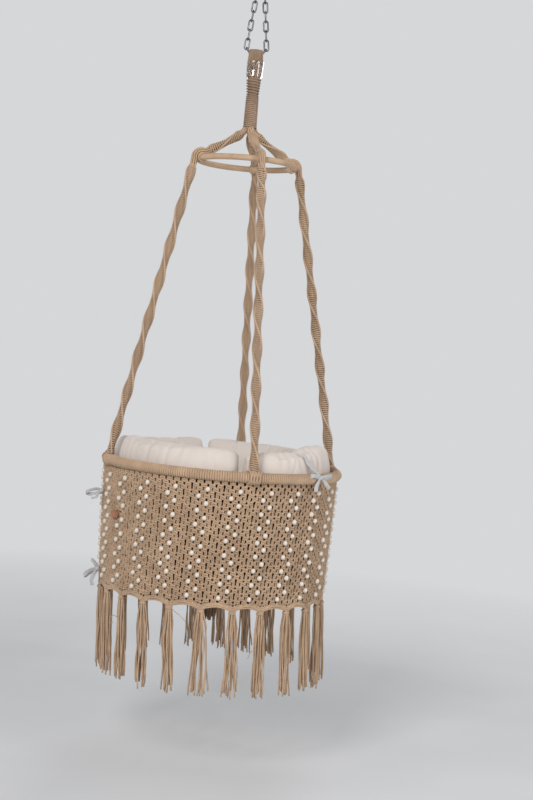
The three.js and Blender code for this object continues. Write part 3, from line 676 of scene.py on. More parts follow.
def make_binding(node, turns, name):
    """A cord wound down the neck, with its ends tucked in."""
    high = top(node) - CORD / 2 + (BINDING_REACH if node == "lower_binding" else 0)
    low = foot(node) + CORD / 2 - (BINDING_REACH if node == "upper_binding" else 0)
    steps = turns * 36
    points = []
    for k in range(steps + 1):
        share = k / steps
        z = high + (low - high) * share
        reach = neck_radius(z) + CORD / 2
        tuck = 1.6 * MM * max(0, 1 - min(k, steps - k) / 9)
        points.append(around(reach - tuck, 360 * turns * share, z))
    build_piece(name, neck_cord, node, tube(points, CORD / 2, 9, first=(0, 0, 1)), body="neck")


make_eye()
make_sleeve()
make_binding("upper_binding", 6, "spaced_binding")
make_binding("lower_binding", 18, "tight_binding")

# Hoops: a wound cord shows as ribs that lean a little round the tube
STRANDS = {"front": 16, "right": 106, "rear": 171, "left": 290}
SPREADER_RADIUS = 120 * MM
SPREADER_TUBE = 7.5 * MM
SPREADER_Z = middle("spreader_ring")[2]
RIM_RADIUS = 292 * MM
RIM_TUBE = 13 * MM
CANE_RADIUS = 9 * MM
RIM_Z = middle("rim_wrap")[2]
WINDING_START = STRANDS["left"] - 3.4
BARE_ANGLE = 270
BARE_CANE = math.degrees(92 / 292)


def wound_hoop(radius, z, tube_radius, pitch, depth, start=0.0, span=360.0, sides=14, per_rib=8):
    """A hoop, or part of one, in a tight winding; the UVs run along the wound cord."""
    length = radius * math.radians(span)
    ribs = round(length / pitch)
    count = ribs * per_rib
    whole = span >= 360
    steps = np.arange(count if whole else count + 1)
    turn = turns(sides)
    phase = steps[:, None] / per_rib + turn[None] / (2 * math.pi)
    across = 2 * (phase % 1) - 1
    reach = tube_radius - depth * (1 - np.sqrt(np.maximum(0, 1 - across ** 2)))
    reach = reach + 0.12 * MM * np.sin(phase * 2.7)
    angle = np.radians(start + span * steps / count)[:, None]
    out = radius + reach * np.cos(turn)[None]
    rings = np.stack([out * np.sin(angle), -out * np.cos(angle), z + reach * np.sin(turn)[None]], 2)
    points, faces, uvs = skin(rings[:, ::-1], np.linspace(0, ribs, len(steps)), looped=whole)
    swapped = np.stack([uvs[0][..., 1] * 2 * math.pi * tube_radius, uvs[0][..., 0] * 0.5], -1)
    return points, faces, [swapped] + uvs[1:]


def make_hoops():
    build_piece("spreader_winding", wrap_cord, "spreader_ring",
                wound_hoop(SPREADER_RADIUS, SPREADER_Z, SPREADER_TUBE, 3.2 * MM, 0.7 * MM, per_rib=6))
    span = 360 - (WINDING_START - BARE_ANGLE + BARE_CANE / 2)
    build_piece("rim_winding", rim_cord, "rim_wrap",
                wound_hoop(RIM_RADIUS, RIM_Z, RIM_TUBE, 5.7 * MM, 2.2 * MM, WINDING_START, span))
    path = [around(RIM_RADIUS, 360 * k / 180, RIM_Z) for k in range(180)]
    swell = 0.15 * MM * np.sin(np.arange(180) * 0.5)
    build_piece("cane_hoop", cane, "rim_hoop",
                tube(path, CANE_RADIUS + swell, 14, looped=True, first=(0, 0, 1)), slot="cane")


make_hoops()

# Strands of half knots
KNOT_PITCH = 5.5 * MM
STRAND_CORD = 4.515 * MM
RIB_CORD = 3.8 * MM
STRAND_HALF_WIDTH = 12.4 * MM
STRAND_HALF_FLAT = 8.8 * MM
RIDGE_CORD = 4.4 * MM
RIDGE_LEAST_REACH = 5.4 * MM
HALF_TURN = 94 * MM
TIGHT_HALF_TURN = 50 * MM
TIGHT_START = 150 * MM
TIGHT_END = 270 * MM
CORE_TWIST = 0.35
STAND = 17.5 * MM
BEND_START = 0.66
BEND_END = -0.07
NECK_REACH = 10 * MM
STRAND_TOP = NECK_FOOT + 1.5 * MM


def strand_path(degrees):
    """The strand's middle line: out from the neck, round the spreader ring and down to the rim."""
    bend = []
    for k in range(13):
        angle = (BEND_START + (BEND_END - BEND_START) * k / 12) * math.pi
        bend.append(around(SPREADER_RADIUS + STAND * math.cos(angle), degrees,
                           SPREADER_Z + STAND * math.sin(angle)))
    start = around(NECK_REACH, degrees, STRAND_TOP)
    control = around(NECK_REACH + 2 * MM, degrees, NECK_FOOT - 16 * MM)
    rise = [(1 - t) ** 2 * start + 2 * t * (1 - t) * control + t * t * bend[0]
            for t in np.linspace(0, 1, 24)]
    end = around(RIM_RADIUS, degrees, RIM_Z + RIM_TUBE)
    fall = [bend[-1] + (end - bend[-1]) * t for t in np.linspace(0, 1, 60)]
    route = np.array(rise + bend[1:] + fall[1:])
    lengths = run_lengths(route)
    count = int(lengths[-1] / KNOT_PITCH)
    spots = np.linspace(0, lengths[-1], count + 1)
    return np.stack([np.interp(spots, lengths, route[:, k]) for k in range(3)], 1)


def knot_loop():
    """One half knot's wrap in the strand's own axes: wide along x, flat along y, its front bar slanted."""
    turn = turns(18)
    wide = STRAND_HALF_WIDTH - RIB_CORD / 2
    flat = STRAND_HALF_FLAT - RIB_CORD / 2
    bow = 0.28 * KNOT_PITCH * np.sin(turn) * np.cos(turn) * 2
    path = np.stack([wide * np.cos(turn), flat * np.sin(turn), bow], 1)
    return tube(path, RIB_CORD / 2, 6, looped=True, first=(0, 0, 1))


def strand_twist(place, degrees, lengths):
    """How far the flat strand has turned; the front one turns faster for a while below the spreader."""
    rate = np.full(len(lengths), math.pi / HALF_TURN)
    if place == "front":
        tight = np.clip((TIGHT_END - lengths) / (30 * MM), 0, 1)
        tight *= np.clip((lengths - TIGHT_START) / (20 * MM), 0, 1)
        rate += tight * (math.pi / TIGHT_HALF_TURN - math.pi / HALF_TURN)
    return -np.concatenate([[0], np.cumsum(rate[1:] * np.diff(lengths))]) + math.radians(degrees * 2)


def inner_cords(path, normals, sides, twist, count, reach, start, radius, faces):
    """Cords that run side by side inside a strand, and turn more slowly than its knots."""
    shapes = []
    for k in range(count):
        angle = twist * CORE_TWIST + 2 * math.pi * (k + start) / count
        offset = np.cos(angle)[:, None] * normals + np.sin(angle)[:, None] * sides
        shapes.append(tube(path + reach[:, None] * offset, radius, faces))
    return shapes


def make_strand(place, degrees):
    path = strand_path(degrees)
    tangents, normals, sides = frames(path, first=around(1, degrees, 0))
    lengths = run_lengths(path)
    total = lengths[-1]
    twist = strand_twist(place, degrees, lengths)
    ring_middle = around(SPREADER_RADIUS, degrees, SPREADER_Z)
    from_ring = np.linalg.norm(path - ring_middle, axis=1) - STAND
    openness = np.clip(np.minimum(lengths - 14 * MM, total - lengths + 14 * MM) / (12 * MM), 0, 1)
    openness = openness * np.clip((from_ring - 5 * MM) / (16 * MM), 0, 1)
    x_axis = normals * np.cos(twist)[:, None] + sides * np.sin(twist)[:, None]
    y_axis = sides * np.cos(twist)[:, None] - normals * np.sin(twist)[:, None]
    core = inner_cords(path, normals, sides, twist, 6, 4.4 * MM + 1.2 * MM * (1 - openness), 0,
                       STRAND_CORD / 2, 7)
    build_piece(f"core_cords_{place}", core_cord, f"strand_{place}", *core)
    pile = Pile()
    for shape in inner_cords(path, normals, sides, twist, 8, 6.4 * MM - 3 * MM * openness, 0.5, 2.5 * MM, 7):
        pile.add(shape)
    for tip in (1, -1):
        widest = STRAND_HALF_WIDTH + 0.5 * MM - RIDGE_CORD / 2
        reach = RIDGE_LEAST_REACH + (widest - RIDGE_LEAST_REACH) * openness
        wave = 0.5 * MM * np.sin(2 * math.pi * lengths / (2 * KNOT_PITCH))
        pile.add(tube(path + x_axis * tip * (reach + wave)[:, None], RIDGE_CORD / 2, 8))
    loop = knot_loop()
    shown = openness > 0.3
    wide = 0.6 + 0.36 * openness[shown] + noise.normal(0, 0.012, shown.sum())
    flat = 0.84 + 0.16 * openness[shown] + noise.normal(0, 0.02, shown.sum())
    base = loop[0]
    copies = path[shown][:, None] \
        + base[None, :, :1] * (wide[:, None] * x_axis[shown])[:, None] \
        + base[None, :, 1:2] * (flat[:, None] * y_axis[shown])[:, None] \
        + base[None, :, 2:] * tangents[shown][:, None]
    pile.add_copies(loop, copies)
    pile.build(f"half_knots_{place}", cord, f"strand_{place}")


def coil_on_hoop(radius, z, degrees, tube_radius, length, turns, slant):
    """A cord wound a few times round a hoop, to tie a strand on."""
    steps = turns * 20
    points = []
    for k in range(steps + 1):
        share = k / steps
        angle = 2 * math.pi * turns * share + math.pi / 2
        along = (share - 0.5) * length + slant * math.sin(angle)
        out = radius + tube_radius * math.cos(angle)
        points.append(around(out, degrees + math.degrees(along / radius), z + tube_radius * math.sin(angle)))
    return np.array(points)


def make_hitches():
    for place, degrees in STRANDS.items():
        coil = coil_on_hoop(SPREADER_RADIUS, SPREADER_Z, degrees, SPREADER_TUBE + 2 * MM, 20 * MM, 5, 0)
        build_piece(f"ring_lashing_{place}", cord, f"spreader_hitch_{place}",
                    tube(coil, 2.1 * MM, 7))
        stand, thickness = (0.2 * MM, 1.7 * MM) if place == "left" else (2.1 * MM, 2.2 * MM)
        coils = [coil_on_hoop(RIM_RADIUS, RIM_Z, degrees, RIM_TUBE + stand, 27 * MM, 4, slant)
                 for slant in (3 * MM, -3 * MM)]
        build_piece(f"rim_lashing_{place}", cord, f"rim_hitch_{place}",
                    *[tube(coil, thickness, 7) for coil in coils])


for strand, strand_angle in STRANDS.items():
    make_strand(strand, strand_angle)
make_hitches()

BASE_Z = middle("base_hoop")[2]

# Knotted wall: square knots of four cords, offset row by row; beads or slits take some knots' places
WALL_RADIUS = 288.2 * MM
WALL_DRAW_IN = 10 * MM
WALL_TOP = top("basket_wall")
WALL_FOOT = foot("basket_wall")
WALL_TWIST = math.radians(2.6)
KNOT_COLUMNS = 96
KNOT_ROWS = 34
FIRST_COLUMN = -9.4
ROW_PITCH = (WALL_TOP - WALL_FOOT - 6 * MM) / KNOT_ROWS
BEAD_RADIUS = 5.7 * MM
BEAD_HEIGHT = 12.6 * MM
BEAD_STAND = 6.6 * MM
WALL_PARTS = 6


def wall_share(z):
    return (WALL_TOP - z) / (WALL_TOP - WALL_FOOT)


def wall_copies(shape, sites, stand=0.0):
    """Places a flat shape (x across, y outward, z up) on the wall at each (degrees, z, turn, scale)."""
    points = shape[0]
    sites = np.array(sites)
    turn, scale = sites[:, 2:3], sites[:, 3:4]
    x = (points[:, 0] * np.cos(turn) - points[:, 2] * np.sin(turn)) * scale
    z = sites[:, 1:2] + (points[:, 0] * np.sin(turn) + points[:, 2] * np.cos(turn)) * scale
    share = wall_share(z)
    angle = np.radians(sites[:, :1]) - WALL_TWIST * (share - 0.5) + x / WALL_RADIUS
    reach = WALL_RADIUS - WALL_DRAW_IN * share + points[:, 1] * scale + stand
    return np.stack([reach * np.sin(angle), -reach * np.cos(angle), z], 2)


def millimetres(*points):
    return np.array(points) * MM


def mirrored(points):
    return points * np.array([-1, 1, 1])


def wall_cords(*paths, faces=5):
    return [tube(path, CORD / 2, faces, first=(0, 1, 0)) for path in paths]


def knot_shapes():
    """A square knot: two bars across its core cords and a loop down each side."""
    upper = millimetres((-4.6, 0.4, 2.4), (-2.9, 3.4, 3.0), (0, 4.9, 2.3), (3.0, 3.6, 1.6), (4.8, 0.4, 0.9))
    lower = millimetres((-4.8, 0.4, -0.9), (-3.0, 3.6, -1.6), (0, 4.9, -2.3), (2.9, 3.4, -3.0),
                        (4.6, 0.4, -2.4))
    bump = millimetres((-3.4, 1.2, 3.8), (-5.5, 2.6, 1.7), (-5.7, 2.8, -0.6), (-4.4, 1.4, -3.0))
    return wall_cords(upper, lower, faces=6) + wall_cords(bump, mirrored(bump) * 0.94)


def leg_shapes(straight):
    """The two cords that leave a knot down and to the right, straight down beside a slit or slanting."""
    if straight:
        return wall_cords(millimetres((2.0, 0.4, -2.6), (2.2, 1.2, -5.0), (2.2, 0.4, -7.4)),
                          millimetres((5.4, 0.4, -1.6), (6.0, 1.4, -4.4), (6.0, 0.4, -7.2)))
    return wall_cords(millimetres((1.4, 0.2, -2.6), (4.0, 2.0, -4.9), (7.0, 0.2, -7.0)),
                      millimetres((3.6, 0.6, -1.4), (6.2, 2.4, -3.6), (9.0, 0.4, -5.8)))


def slit_shapes():
    """Four cords that run side by side past a slit."""
    inner = millimetres((3.6, 0.6, 4.2), (3.7, 0.8, 0), (3.6, 0.6, -4.2))
    outer = millimetres((7.4, 0.6, 4.2), (7.7, 1.4, 0), (7.4, 0.6, -4.2))
    return wall_cords(inner, outer, mirrored(inner), mirrored(outer))


def beside_bead_shapes():
    """The cords that pass a bead on each side."""
    path = millimetres((7.2, 0.4, 5.6), (7.9, 1.0, 2.0), (7.9, 1.0, -2.0), (7.2, 0.4, -5.6))
    return wall_cords(path, mirrored(path))


def site_kind(half_column, row):
    """What stands at a place of the net: a hole, a knot, a bead or a slit."""
    if (half_column + row) % 2 == 1:
        return "hole"
    if row % 2 == 1 or row == 0:
        return "knot"
    column = (half_column // 2) % 4
    first = 2 if column % 2 else 4
    if row < first or (row - first) % 4:
        return "knot"
    return "bead" if column < 2 else "slit"


def tightness(degrees):
    """The knots' scale: smallest at 50 degrees, on the right of the photograph."""
    turned = math.radians(degrees - 50)
    return 1.08 - 0.17 * max(0, math.cos(turned)) ** 1.5


def near_button(degrees, z):
    centre = middle("wooden_button")
    across = degrees + math.degrees(WALL_TWIST) / 8 - math.degrees(math.atan2(centre[0], -centre[1]))
    return abs((across + 180) % 360 - 180) < 4.6 and abs(z - centre[2]) < 15 * MM


def make_wall():
    shapes = {"knot": knot_shapes(), "slit": slit_shapes(), "bead": beside_bead_shapes()}
    slant, drop = leg_shapes(False), leg_shapes(True)
    kinds = ("knot", "slit", "bead", "slant", "drop", "slant_left", "drop_left")
    parts = [{kind: [] for kind in kinds} for _ in range(WALL_PARTS)]
    beads = []
    for row in range(KNOT_ROWS):
        for half in range(row % 2, 2 * KNOT_COLUMNS, 2):
            degrees = FIRST_COLUMN + 180 * half / KNOT_COLUMNS
            kind = site_kind(half, row)
            z = WALL_TOP - 4.3 * MM - ROW_PITCH * row
            part = parts[int((degrees % 360) // (360 / WALL_PARTS))]
            shift = noise.normal(0, 1, 4)
            size_here = tightness(degrees) * (1 + 0.02 * shift[0])
            site = (degrees + 0.05 * shift[1], z + 0.3 * MM * shift[2], 0.04 * shift[3], size_here)
            part[kind].append(site)
            if kind == "bead" and not near_button(*site[:2]):
                beads.append((site[0], site[1], 2 * site[2], 1 + 0.02 * shift[0]))
            for side, suffix in ((1, ""), (-1, "_left")):
                below = site_kind(half + side, row + 1)
                straight = "slit" in (kind, below)
                part[("drop" if straight else "slant") + suffix].append(site[:3] + (1.0,))
    shapes.update(slant=slant, drop=drop, slant_left=flipped(slant), drop_left=flipped(drop))
    for number, part in enumerate(parts, 1):
        pile = Pile()
        for kind, sites in part.items():
            for shape in shapes[kind]:
                pile.add_copies(shape, wall_copies(shape, sites))
        pile.build(f"knotted_wall_{number}", cord, "basket_wall")
    pile = Pile()
    shape = ball(BEAD_RADIUS, BEAD_HEIGHT)
    pile.add_copies(shape, wall_copies(shape, beads, BEAD_STAND))
    pile.build("wall_beads", bead, "basket_wall", slot="cotton")


def flipped(shapes):
    """Left-handed copies of shapes, their faces turned round so that they still face out."""
    return [(mirrored(points), [corners[:, ::-1] for corners in faces],
             [places[:, ::-1] for places in uvs]) for points, faces, uvs in shapes]


def painted_shade_cloth_radius(z):
    """The sheet of painted shade follows the wall, and passes outside the base hoop at its foot."""
    beside_hoop = max(0, 1 - abs(z - BASE_Z) / (24 * MM))
    return WALL_RADIUS - WALL_DRAW_IN * wall_share(z) - 5.6 * MM + 4.4 * MM * min(1, 1.8 * beside_hoop)


def make_painted_shade_cloth():
    """A dark sheet of painted shade just inside the wall, where the wall's inner side lies in its own shade;
    it is seen dark through the holes.
    """
    turn = np.degrees(turns(144))
    rings = []
    levels = list(np.linspace(WALL_TOP + 12 * MM, WALL_FOOT - 2 * MM, 36))
    for thickness, heights in ((0, levels), (1 * MM, levels[::-1])):
        for z in heights:
            rings.append([around(painted_shade_cloth_radius(z) - thickness, degrees, z) for degrees in turn])
    build_piece("wall_painted_shade_sheet", painted_shade_cloth, "basket_wall",
                skin(np.array(rings), np.linspace(0, 0.6, len(rings)), looped=True))


make_wall()
make_painted_shade_cloth()


# Heading: each knot of the first row hangs from the rim by four slanted cords
def make_heading():
    top_z = RIM_Z - 8 * MM
    shapes = []
    for column in range(KNOT_COLUMNS):
        degrees = FIRST_COLUMN + 360 * column / KNOT_COLUMNS
        for x in (-6.8, -2.3, 2.3, 6.8):
            path = []
            for share in np.linspace(0, 1, 4):
                z = top_z - share * (top_z - WALL_TOP + 6 * MM)
                across = (x * (1 - 0.36 * share) + 1.6 * (share - 0.8)) * MM
                reach = WALL_RADIUS + 1.2 * MM * math.sin(math.pi * share)
                path.append(around(reach, degrees + math.degrees(across / WALL_RADIUS + WALL_TWIST / 2), z))
            shapes.append(tube(path, CORD / 2, 6))
    build_piece("wall_heading", cord, "basket_wall", *shapes)


make_heading()

# Fringe: swags gather the wall's cords at each tassel
TASSELS = 24
FIRST_TASSEL = -3.6
TASSEL_LENGTH = 206 * MM
TASSEL_CORDS = 17
HEM_DROP = 13 * MM
HEM_CORD = 4.2 * MM
HEM_BANDS = ((5.5, -3.5, 1.5), (2, -7.5, 3.2), (-2.2, -11, 2.4), (-0.5, -9, -1.6))
SWAG_CORDS = 6
STRAY_THREAD = 1.8 * MM
PLUMB_LEAN = 10 * MM
FRINGE_TOP = top("fringe_front")
FRINGE_RADIUS = 279.5 * MM


def fringe_point(degrees, x, y, z):
    """A place near a tassel: x along the hem and y outward from the wall's middle line."""
    return around(FRINGE_RADIUS + y, degrees + math.degrees(x / FRINGE_RADIUS), z)


def swag(degrees, side, k, count):
    """One gathered cord from the wall's foot to the tassel's neck."""
    half_pitch = math.pi * FRINGE_RADIUS / TASSELS
    start = side * half_pitch * (k + 0.9) / count
    neck = FRINGE_TOP - HEM_DROP
    out = (2.4 if k % 2 else -1.4) * MM
    points = []
    for t in np.linspace(0, 1, 9):
        x = start * (1 - t) ** 1.5 + side * 2.5 * MM * t
        fall = t ** 1.3
        z = FRINGE_TOP + 4 * MM + (neck - FRINGE_TOP - 8 * MM) * fall
        points.append(fringe_point(degrees, x, out * (1 - t) + 1.5 * MM * math.sin(3 * t), z))
    return np.array(points)


def hem_band(first, last, high, low, out):
    """A cord that sags from tassel to tassel round the wall's foot; heights in millimetres."""
    points = []
    for number in np.linspace(first, last, int((last - first) * 12) + 1):
        drop = abs((number % 1) - 0.5) * 2
        z = FRINGE_TOP + (high + (low - high) * drop ** 1.7) * MM
        degrees = FIRST_TASSEL + 360 * number / TASSELS
        points.append(fringe_point(degrees, 0, (out + 0.4 * math.sin(9 * number)) * MM, z))
    return np.array(points)


def tassel_cord(degrees, k, scale):
    """One loose cord of a tassel: gathered at the neck, then hanging with its own wander."""
    angle = 2 * math.pi * k / TASSEL_CORDS + random.uniform(-0.3, 0.3)
    neck = FRINGE_TOP - HEM_DROP + 3 * MM
    inner = 4.4 * MM if k % 3 else 1.5 * MM
    share = 1 if k % 3 else 0.45
    reach_x = random.uniform(13, 18.5) * MM * scale * share
    reach_y = random.uniform(6, 11) * MM * scale * share
    length = TASSEL_LENGTH * random.uniform(0.9, 1.02)
    sway = [random.uniform(-4.4, 4.4) * MM for _ in range(4)]
    points = []
    for t in np.linspace(0, 1, 15):
        spread = min(1, t / 0.2) ** 0.75
        widen = spread * (0.62 + 0.38 * t)
        x = inner * math.cos(angle) + (reach_x - inner) * math.cos(angle) * widen
        y = inner * math.sin(angle) + (reach_y - inner) * math.sin(angle) * widen
        x += sway[0] * math.sin(5 * t) * t + sway[1] * t * t + sway[2] * math.sin(11 * t) * 0.4 * spread
        y += sway[3] * math.sin(6 * t) * t
        place = fringe_point(degrees, x, y, neck - length * t)
        place[0] += PLUMB_LEAN * t
        points.append(place)
    return np.array(points)


# Stray threads by their tassel's degrees: (x, y, z) in millimetres from its neck
STRAYS = {-48.6: [(-8, 3, -52), (-20, 6, -50), (-29, 8, -58), (-27, 8, -68), (-17, 7, -66)],
          -18.6: [(6, 4, -4), (16, 2, -12), (28, 5, -18), (40, 3, -30)],
          26.4: [(-9, 3, -88), (-20, 6, -96), (-26, 7, -110)]}


def stray_cord(degrees):
    """A loose thread that has come out of a tassel."""
    return bent_path([fringe_point(degrees, x * MM, y * MM, FRINGE_TOP - HEM_DROP + z * MM)
                      for x, y, z in STRAYS[degrees]])


def neck_wrap(degrees):
    """Two turns that hold a tassel's neck."""
    points = []
    for k in range(41):
        angle = 4 * math.pi * k / 40
        reach = 7.4 * MM
        z = FRINGE_TOP - HEM_DROP - 1 * MM - 5 * MM * k / 40
        points.append(fringe_point(degrees, reach * math.cos(angle), reach * math.sin(angle) * 0.9, z))
    return np.array(points)


def make_fringe():
    names = ["front", "right", "rear", "left"]
    per_side = TASSELS // len(names)
    for part, place in enumerate(names):
        pile = Pile()
        for k in range(per_side):
            number = part * per_side - (per_side - 1) // 2 + k
            degrees = FIRST_TASSEL + 360 * number / TASSELS + random.uniform(-0.6, 0.6)
            scale = random.uniform(0.85, 1.1)
            for side in (1, -1):
                for j in range(SWAG_CORDS):
                    pile.add(tube(swag(degrees, side, j, SWAG_CORDS), FRINGE_CORD / 2))
            for j in range(TASSEL_CORDS):
                pile.add(tube(tassel_cord(degrees, j, scale), FRINGE_CORD / 2))
            pile.add(tube(neck_wrap(degrees), 1.9 * MM))
        if place == "front":
            for degrees in STRAYS:
                pile.add(tube(stray_cord(degrees), STRAY_THREAD / 2, 5))
        first = part * per_side - (per_side - 1) // 2 - 0.5
        last = first + per_side + 0.02
        for band in HEM_BANDS:
            pile.add(tube(hem_band(first, last, *band), HEM_CORD / 2, first=(0, 0, 1)))
        pile.build(f"tassels_{place}", cord, f"fringe_{place}")


make_fringe()

# Underside: the base hoop, the net and the tuft at its middle
BASE_TUBE = 6 * MM
BASE_RADIUS = size("base_hoop")[0] / 2 - BASE_TUBE - 1.5 * MM
NET_RADIUS = size("base_net")[0] / 2
NET_SAG = 38 * MM
NET_SPOKES = 72
NET_RINGS = 12
TUFT_CORDS = 26


def net_z(radius):
    return BASE_Z - NET_SAG * (1 - (radius / NET_RADIUS) ** 2)


def make_underside():
    build_piece("base_hoop_winding", wrap_cord, "base_hoop",
                wound_hoop(BASE_RADIUS, BASE_Z, BASE_TUBE, 4.2 * MM, 0.8 * MM, sides=10, per_rib=5))
    shapes = []
    for k in range(NET_SPOKES):
        bend = 4.5 * (1 if k % 2 else -1)
        over = 1.2 * MM * (k % 2)
        path = [around(NET_RADIUS * s, 5 * k + bend * math.sin(7 * s), net_z(NET_RADIUS * s) + over)
                for s in np.linspace(0.03, 1.0, 12)]
        shapes.append(tube(path, CORD / 2))
    for ring in range(1, NET_RINGS + 1):
        radius = NET_RADIUS * ring / (NET_RINGS + 0.4)
        path = [around(radius, math.degrees(a), net_z(radius) - 0.6 * MM + 1.4 * MM * math.sin(36 * a))
                for a in turns(max(24, ring * 12))]
        shapes.append(tube(path, CORD / 2, looped=True, first=(0, 0, 1)))
    build_piece("base_netting", cord, "base_net", *shapes)
    make_tuft()


def make_tuft():
    high, low = top("centre_tuft"), foot("centre_tuft")
    shapes = []
    for k in range(TUFT_CORDS):
        angle = 2.4 * k
        reach = 19 * MM * math.sqrt((k + 0.5) / TUFT_CORDS)
        length = (high - low) * random.uniform(0.8, 0.99)
        wander = random.uniform(-3, 3) * MM
        points = []
        for t in np.linspace(0, 1, 10):
            out = reach * (0.42 + 0.58 * min(1, t / 0.6)) + wander * math.sin(4 * t) * t
            points.append((out * math.cos(angle), out * math.sin(angle), high - length * t))
        shapes.append(tube(points, CORD / 2))
    wrap = [(9.6 * MM * math.cos(a), 9.6 * MM * math.sin(a), high - 4 * MM - a * 0.9 * MM)
            for a in np.linspace(0, 8 * math.pi, 90)]
    build_piece("tuft_cords", tuft_cord, "centre_tuft", *shapes, tube(wrap, 1.9 * MM), slot="rope")


make_underside()

# Cushions: cloth shells blown up a little, then creased
PAD_VOXEL = 5 * MM
PAD_CAP = 9 * MM
PAD_PRESSURE = 4
PAD_STEPS = 20
MATTRESS_TOP = foot("bumper_front") - 0.3 * MM
MATTRESS_CROWN = 8 * MM
MATTRESS_FOOT = foot("mattress")
MATTRESS_RADIUS = size("mattress")[0] / 2
BUMPER_FOOT = foot("bumper_front")
BUMPER_TOP = top("bumper_front")
BUMPER_RADIUS = 235.3 * MM
BUMPER_HALF_THICK = 34 * MM
BUMPER_HALF_SPAN = 44.3
BUMPERS = {"front": -33, "right": 57, "rear": 147, "left": 237}
BUMPER_LIMIT = 272.5 * MM
BUMPER_CREASES = 26


def superellipse(count, half_wide, half_tall, power):
    cosine, sine = np.cos(turns(count)), np.sin(turns(count))
    return np.stack([half_wide * np.sign(cosine) * np.abs(cosine) ** (2 / power),
                     half_tall * np.sign(sine) * np.abs(sine) ** (2 / power)], 1)


def bumper_shell(place):
    """The section's cloth cut: a closed roll along the rim, lower and thinner towards its ends."""
    centre = BUMPERS[place]
    rings = []
    for share in np.linspace(-1, 1, 41):
        degrees = centre + BUMPER_HALF_SPAN * share
        ends = math.sqrt(max(0.02, 1 - abs(share) ** 9))
        high = BUMPER_TOP + bumper_rise(degrees) - 4 * MM
        low = BUMPER_FOOT + 2 * MM
        half_tall = (high - low) / 2 * (0.9 + 0.1 * ends)
        section = superellipse(28, BUMPER_HALF_THICK * (0.35 + 0.65 * ends), half_tall, 2.8)
        rings.append([around(BUMPER_RADIUS + x, degrees, (high + low) / 2 + z) for x, z in section])
    return skin(np.array(rings), np.linspace(0, 1, len(rings)))


def bumper_rise(degrees):
    """How far the top stands over or under the solid's: by the photograph where it shows, else a guess."""
    marks = [(-78, -4), (-60, 4), (-20, 2), (8, -3), (14, -12), (22, -4), (45, 0), (62, 14), (80, 12),
             (98, -6), (110, -14), (147, -10), (180, -12), (215, -14), (237, -12), (262, -10), (282, -4)]
    turned = (degrees + 78) % 360 - 78
    return float(np.interp(turned, *zip(*marks))) * MM


def mattress_shell():
    half = (MATTRESS_TOP - MATTRESS_FOOT) / 2 - 2 * MM
    rings = []
    section = superellipse(40, MATTRESS_RADIUS - 4 * MM, half, 5)
    levels = [(1 * MM, half)] + [(r, z) for r, z in section if r > 0.02] + [(1 * MM, -half)]
    levels = sorted(levels, key=lambda point: math.atan2(point[1] / half, point[0] / MATTRESS_RADIUS))
    centre = (MATTRESS_TOP + MATTRESS_FOOT) / 2
    for radius, z in levels:
        rings.append([around(radius, 360 * k / 96, centre + z) for k in range(96)])
    return skin(np.array(rings), np.linspace(0, 1, len(rings)))


def blown_up(name, shape, voxel=PAD_VOXEL, cap=PAD_CAP):
    """Remeshes a shell, blows it up as cloth, caps how far it moves and smooths it once."""
    piece = build_piece(name, cotton, None, shape, slot="cotton")
    bpy.context.view_layer.objects.active = piece
    even = piece.modifiers.new("even", "REMESH")
    even.mode = "VOXEL"
    even.voxel_size = voxel
    keep_shape(piece)
    before = read_points(piece)
    cloth = piece.modifiers.new("cloth", "CLOTH")
    cloth.settings.use_pressure = True
    cloth.settings.uniform_pressure_force = PAD_PRESSURE
    cloth.settings.quality = 5
    cloth.settings.effector_weights.gravity = 0
    cloth.collision_settings.use_collision = False
    cloth.point_cache.frame_start = 1
    cloth.point_cache.frame_end = PAD_STEPS
    for step in range(1, PAD_STEPS + 1):
        bpy.context.scene.frame_set(step)
    keep_shape(piece)
    bpy.context.scene.frame_set(1)
    moved = read_points(piece) - before
    far = np.linalg.norm(moved, axis=1, keepdims=True)
    write_points(piece, before + moved * np.minimum(1, cap / np.maximum(far, 1e-9)))
    smooth = piece.modifiers.new("smooth", "SUBSURF")
    smooth.levels = smooth.render_levels = 1
    keep_shape(piece)
    return piece


def keep_shape(piece):
    """Turns the object's modifiers into its own mesh."""
    graph = bpy.context.evaluated_depsgraph_get()
    mesh = bpy.data.meshes.new_from_object(piece.evaluated_get(graph))
    piece.modifiers.clear()
    old = piece.data
    piece.data = mesh
    bpy.data.meshes.remove(old)
    piece.data.polygons.foreach_set("use_smooth", np.ones(len(piece.data.polygons), bool))


def read_points(piece, what="co"):
    values = np.zeros(len(piece.data.vertices) * 3, np.float32)
    piece.data.vertices.foreach_get(what, values)
    return values.reshape(-1, 3).astype(float)


def write_points(piece, points):
    piece.data.vertices.foreach_set("co", points.astype(np.float32).ravel())
    piece.data.update()


def fold(value, width):
    """A soft ridge of height 1 at 0 that falls off over the width."""
    return np.exp(-(value / width) ** 2)


